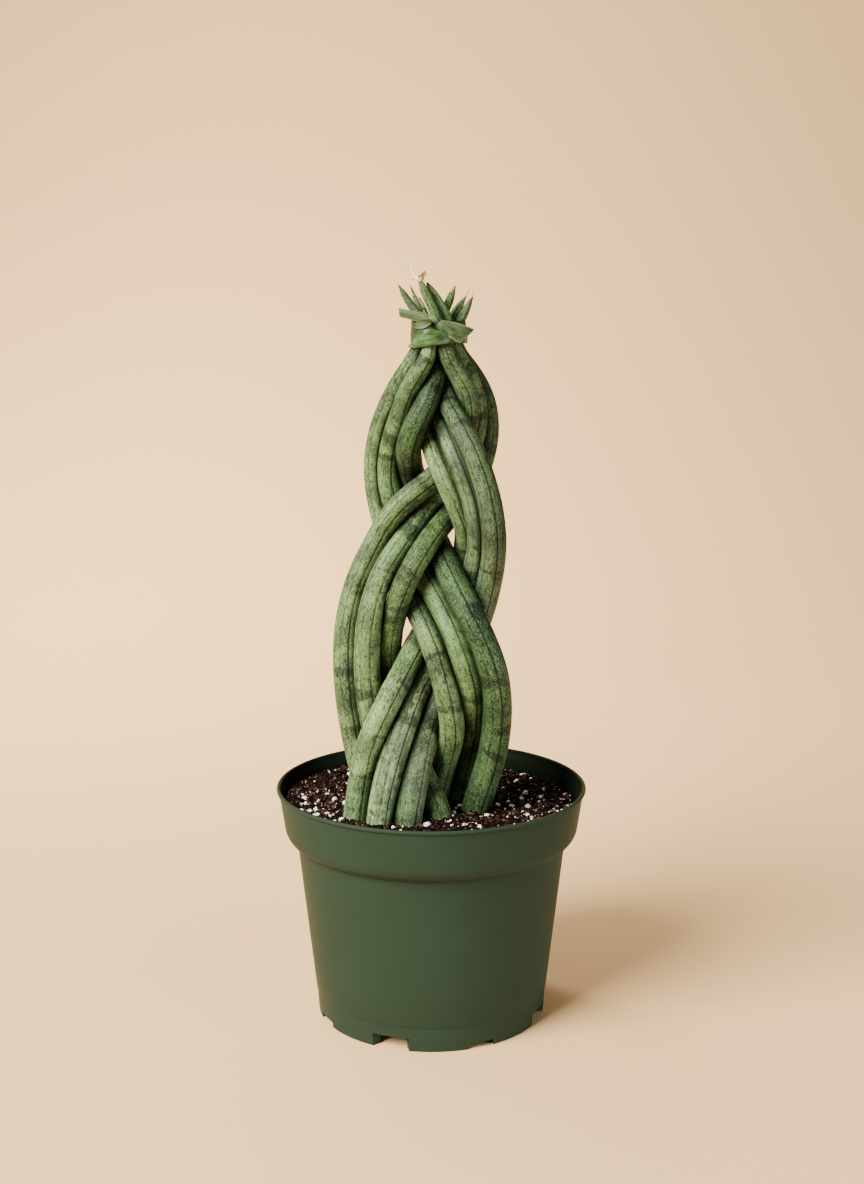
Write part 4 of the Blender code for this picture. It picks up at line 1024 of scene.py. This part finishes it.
# Each loose piece of the knot: places along its upper and its lower edge, how far its middle
# stands out, and how far its first end is frayed
LOOSE_ENDS = {
    "right tail": (((2.7, -24.6, 340.0), (5.0, -25.4, 340.5), (8.2, -25.6, 340.1),
                    (11.8, -25.2, 339.4), (15.8, -24.2, 338.1), (19.8, -22.8, 336.4)),
                   ((2.2, -24.8, 339.2), (3.6, -25.8, 336.8), (5.9, -26.2, 334.6),
                    (8.2, -26.0, 332.9), (10.6, -25.4, 331.4), (12.9, -24.6, 330.3)), 0.7, 0.0),
    "left tail": (((-14.8, -22.6, 346.0), (-9.6, -23.4, 345.0), (-5.4, -24.2, 344.0),
                   (-1.5, -25.0, 342.4), (2.2, -25.2, 341.2)),
                  ((-14.3, -23.0, 342.0), (-9.6, -23.8, 340.8), (-5.6, -24.6, 339.8),
                   (-1.6, -25.2, 339.9), (2.2, -25.2, 340.2)), 0.5, 1.0),
    "flap": (((-8.2, -22.6, 338.2), (-6.4, -24.6, 339.5), (-3.4, -25.8, 339.8),
              (0.2, -25.6, 339.9)),
             ((-8.0, -22.8, 337.4), (-5.6, -25.4, 336.7), (-2.6, -26.4, 337.2),
              (-0.2, -25.8, 338.9)), -0.7, 0.0),
    "knot": (((-1.8, -24.6, 341.9), (0.6, -26.0, 342.6), (2.8, -26.4, 341.9),
              (4.2, -25.6, 340.2)),
             ((-1.6, -24.6, 340.9), (0.2, -26.0, 340.4), (1.4, -26.4, 339.6),
              (2.2, -25.2, 338.6)), 0.5, 0.0),
    "split sliver": (((-5.2, -24.4, 344.6), (-3.0, -25.0, 343.9), (0.6, -25.6, 342.4)),
                     ((-5.4, -24.4, 344.1), (-3.0, -25.2, 342.9), (0.4, -25.6, 341.6)), 0.2,
                     0.0),
}


def strip_mesh(upper, lower, stand_out, frayed, steps, seed, wound=False):
    """Places, faces, laid-out coordinates, edge closeness and turn tone of a thin strip in mm.

    It's ruled between two edges, stands out in its middle and has rounded cut edges. On the winding
    the edge value is negative, for a dark line of painted shade in place of a pale cut edge.
    """
    upper, lower = np.asarray(upper, float), np.asarray(lower, float)
    middle = (upper + lower) / 2
    run = np.concatenate([[0.0], np.cumsum(np.linalg.norm(np.diff(middle, axis=0), axis=1))])
    along = np.linspace(0, run[-1], steps)
    upper, lower = smooth_line(upper, run, along), smooth_line(lower, run, along)
    ahead = np.gradient((upper + lower) / 2, axis=0)
    ahead /= np.linalg.norm(ahead, axis=1)[:, None]
    out = np.cross(ahead, upper - lower)
    out /= np.linalg.norm(out, axis=1)[:, None]
    share = np.sin(np.linspace(-math.pi / 2, math.pi / 2, WIDTH_STEPS)) / 2 + 0.5
    width = np.linalg.norm(upper - lower, axis=1)[:, None]
    veins = VEIN_RELIEF * np.cos(2 * math.pi * share[None, :] * width / VEIN_APART)
    ripple = np.array([[noise.noise(Vector((s * 0.22, t * 1.6, seed))) for t in share]
                       for s in along])
    lift = stand_out * 4 * share * (1 - share) + RIPPLE * ripple + veins
    half = STRIP_THICK / 2 * np.sqrt(np.clip(1 - (2 * share - 1) ** 6, 0, 1))
    flat = lower[:, None] + (upper - lower)[:, None] * share[None, :, None]
    reach = np.exp(-along / 1.5)[:, None] * frayed
    jagged = np.array([noise.noise(Vector((t * 9.0, seed, 5.0))) for t in share])
    flat = flat + ahead[:, None] * (reach * jagged)[..., None]
    outer = flat + out[:, None] * (lift + half)[..., None]
    inner = (flat + out[:, None] * (lift - half)[..., None])[:, -2:0:-1]
    rings = np.concatenate([outer, inner], axis=1)
    sides = rings.shape[1]
    around = np.concatenate([share, share[-2:0:-1]])
    laid = np.stack([np.repeat(along[:, None], sides, axis=1) + seed * 60, around * width,
                     np.zeros((steps, sides))], axis=-1).reshape(-1, 3)
    edge = np.repeat(np.clip(1 - np.minimum(around, 1 - around)[None] * 10, 0, 1), steps, axis=0)
    edge = np.maximum(edge, np.clip(1 - (along[-1] - along) / 0.4, 0, 1)[:, None])
    edge = -edge if wound else edge
    caps = np.array([rings[0].mean(axis=0), rings[-1].mean(axis=0)])
    places = np.concatenate([rings.reshape(-1, 3), caps])
    laid = np.concatenate([laid, laid[:1], laid[-1:]])
    # Turn tone: -1 for painted shade on the turns under the front turn, 1 for the front turn, 0 on
    # the loose pieces
    turns = np.clip((along[:, None] / along[-1] - FRONT_TURN) / FRONT_TURN_OVER, 0, 1) * 2 - 1
    fresh = np.repeat(turns if wound else 0 * turns, sides, axis=1)
    return (places, tube_faces(steps, sides), laid, np.concatenate([edge.ravel(), [1, 1]]),
            np.concatenate([fresh.ravel(), [0, 1]]))


def neck_radius(angles):
    """How far the leaves reach from the middle of the neck in each direction, as one hull."""
    normals = np.linspace(-math.pi, math.pi, 721)
    rays = np.stack([np.cos(normals), np.sin(normals)], axis=1)
    support = np.full(len(normals), -1e3)
    for centres, girths in leaf_lines.values():
        tied = (centres[:, 2] > TIE_SPAN[0]) & (centres[:, 2] < TIE_SPAN[1])
        for centre, girth in zip(centres[tied, :2] - NECK_CENTRE, girths[tied]):
            support = np.maximum(support, rays @ centre + girth)
    slope = np.gradient(support, normals)
    hull = support[:, None] * rays + slope[:, None] * np.stack([-rays[:, 1], rays[:, 0]], axis=1)
    polar = np.arctan2(hull[:, 1], hull[:, 0])
    order = np.argsort(polar)
    reach = np.linalg.norm(hull, axis=1)[order]
    spread = np.radians(np.arange(-12, 13))
    softened = [np.interp(angles + turn, polar[order], reach, period=2 * math.pi)
                for turn in spread]
    return np.average(softened, axis=0, weights=np.cos(spread * 7) + 1)


# Live leaf, torn into a strip: waxy and glossy where it's taut, with pale veins along it
strip, tree, shader = new_material("fresh leaf strip")
laid = add_node(tree, "ShaderNodeAttribute", attribute_name="straight").outputs["Vector"]
edge = add_node(tree, "ShaderNodeAttribute", attribute_name="edge").outputs["Fac"]
# Mottling of about 3 mm, drawn out along the strip, and veins of 0.3 mm
stretched = add_node(tree, "ShaderNodeMapping", {"Vector": laid, "Scale": (0.35, 1.0, 1.0)})
mottle = add_node(tree, "ShaderNodeTexNoise", {
    "Vector": stretched.outputs[0], "Scale": 420.0, "Detail": 3.0, "Roughness": 0.6})
lengthwise = add_node(tree, "ShaderNodeMapping", {"Vector": laid, "Scale": (0.05, 1.0, 1.0)})
vein = add_node(tree, "ShaderNodeTexNoise", {
    "Vector": lengthwise.outputs[0], "Scale": 1900.0, "Detail": 2.0})
# The turn in front is a fresh, glossy green, the turns under it are a dull green darkened with
# painted shade, and the cut tails have dried to a dull grey green.
fresh = add_node(tree, "ShaderNodeAttribute", attribute_name="fresh").outputs["Fac"]
bright = add_node(tree, "ShaderNodeMath", {0: fresh, 1: 1.0}, operation="MULTIPLY",
                  use_clamp=True)
greens = []
for dark, light in (("#1E2C18", "#4A5E38"), ("#1D3319", "#4C6D3A")):
    ramp = add_node(tree, "ShaderNodeValToRGB", {"Fac": mottle.outputs["Fac"]})
    ramp.color_ramp.elements[0].position = 0.34
    ramp.color_ramp.elements[0].color = linear(dark)
    ramp.color_ramp.elements[1].position = 0.66
    ramp.color_ramp.elements[1].color = linear(light)
    greens.append(ramp.outputs["Color"])
green = add_node(tree, "ShaderNodeMix", {"Factor": bright.outputs[0], 6: greens[0], 7: greens[1]},
                 data_type="RGBA")
ground = stained(tree, green.outputs[2], vein.outputs["Fac"], 0.5, 0.72, 0.45, "#66834F")
# Painted shade darkens the turns underneath, the tails' cut edges are pale, and the turns' edges
# get a thin dark line of painted shade.
for value, share, colour in ((fresh, -0.42, "#0E1B0B"), (edge, 0.45, "#8FA36C"),
                             (edge, -0.9, "#0A1408")):
    much = add_node(tree, "ShaderNodeMath", {0: value, 1: share}, operation="MULTIPLY",
                    use_clamp=True)
    ground = add_node(tree, "ShaderNodeMix", {
        "Factor": much.outputs[0], 6: ground, 7: linear(colour)}, data_type="RGBA").outputs[2]
tree.links.new(ground, shader.inputs["Base Color"])
dull = add_node(tree, "ShaderNodeMapRange", {
    "Value": bright.outputs[0], "To Min": 0.60, "To Max": 0.36})
tree.links.new(dull.outputs["Result"], shader.inputs["Roughness"])
shader.inputs["IOR"].default_value = 1.42
shader.inputs["Specular IOR Level"].default_value = 0.34
relief = add_node(tree, "ShaderNodeBump", {
    "Height": vein.outputs["Fac"], "Distance": 0.0001, "Strength": 0.5})
tree.links.new(relief.outputs["Normal"], shader.inputs["Normal"])

angles, low, high, outset = np.array(WINDING, float).T
fine_angles = np.linspace(angles[0], angles[-1], 240)
fine = smooth_line(np.array([low, high, outset]).T, angles, fine_angles)
turn = np.radians(fine_angles - 90)
distance = neck_radius(turn) + fine[:, 2]
flat = NECK_CENTRE + distance[:, None] * np.stack([np.cos(turn), np.sin(turn)], axis=1)
pieces = [strip_mesh(np.column_stack([flat, fine[:, 1]]), np.column_stack([flat, fine[:, 0]]),
                     WINDING_BULGE, 0.0, WINDING_STEPS, WINDING_SEED, True)]
for seed, (upper, lower, stand_out, frayed) in enumerate(LOOSE_ENDS.values()):
    pieces.append(strip_mesh(upper, lower, stand_out, frayed, END_STEPS, seed))
faces, base = [], 0
for piece in pieces:
    faces += [tuple(corner + base for corner in face) for face in piece[1]]
    base += len(piece[0])
places, laid, edges, turn_gloss_and_shade = [np.concatenate([piece[part] for piece in pieces])
                                  for part in (0, 2, 3, 4)]
tie = mesh_object("leaf_strip_tie", places * MM, faces, strip, 75)
add_attribute(tie.data, "straight", "FLOAT_VECTOR", laid * MM)
add_attribute(tie.data, "edge", "FLOAT", edges)
# The turn tone: painted shade on the turns underneath and the front turn's gloss
add_attribute(tie.data, "fresh", "FLOAT", turn_gloss_and_shade)
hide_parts("tie")
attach(tie, "root")
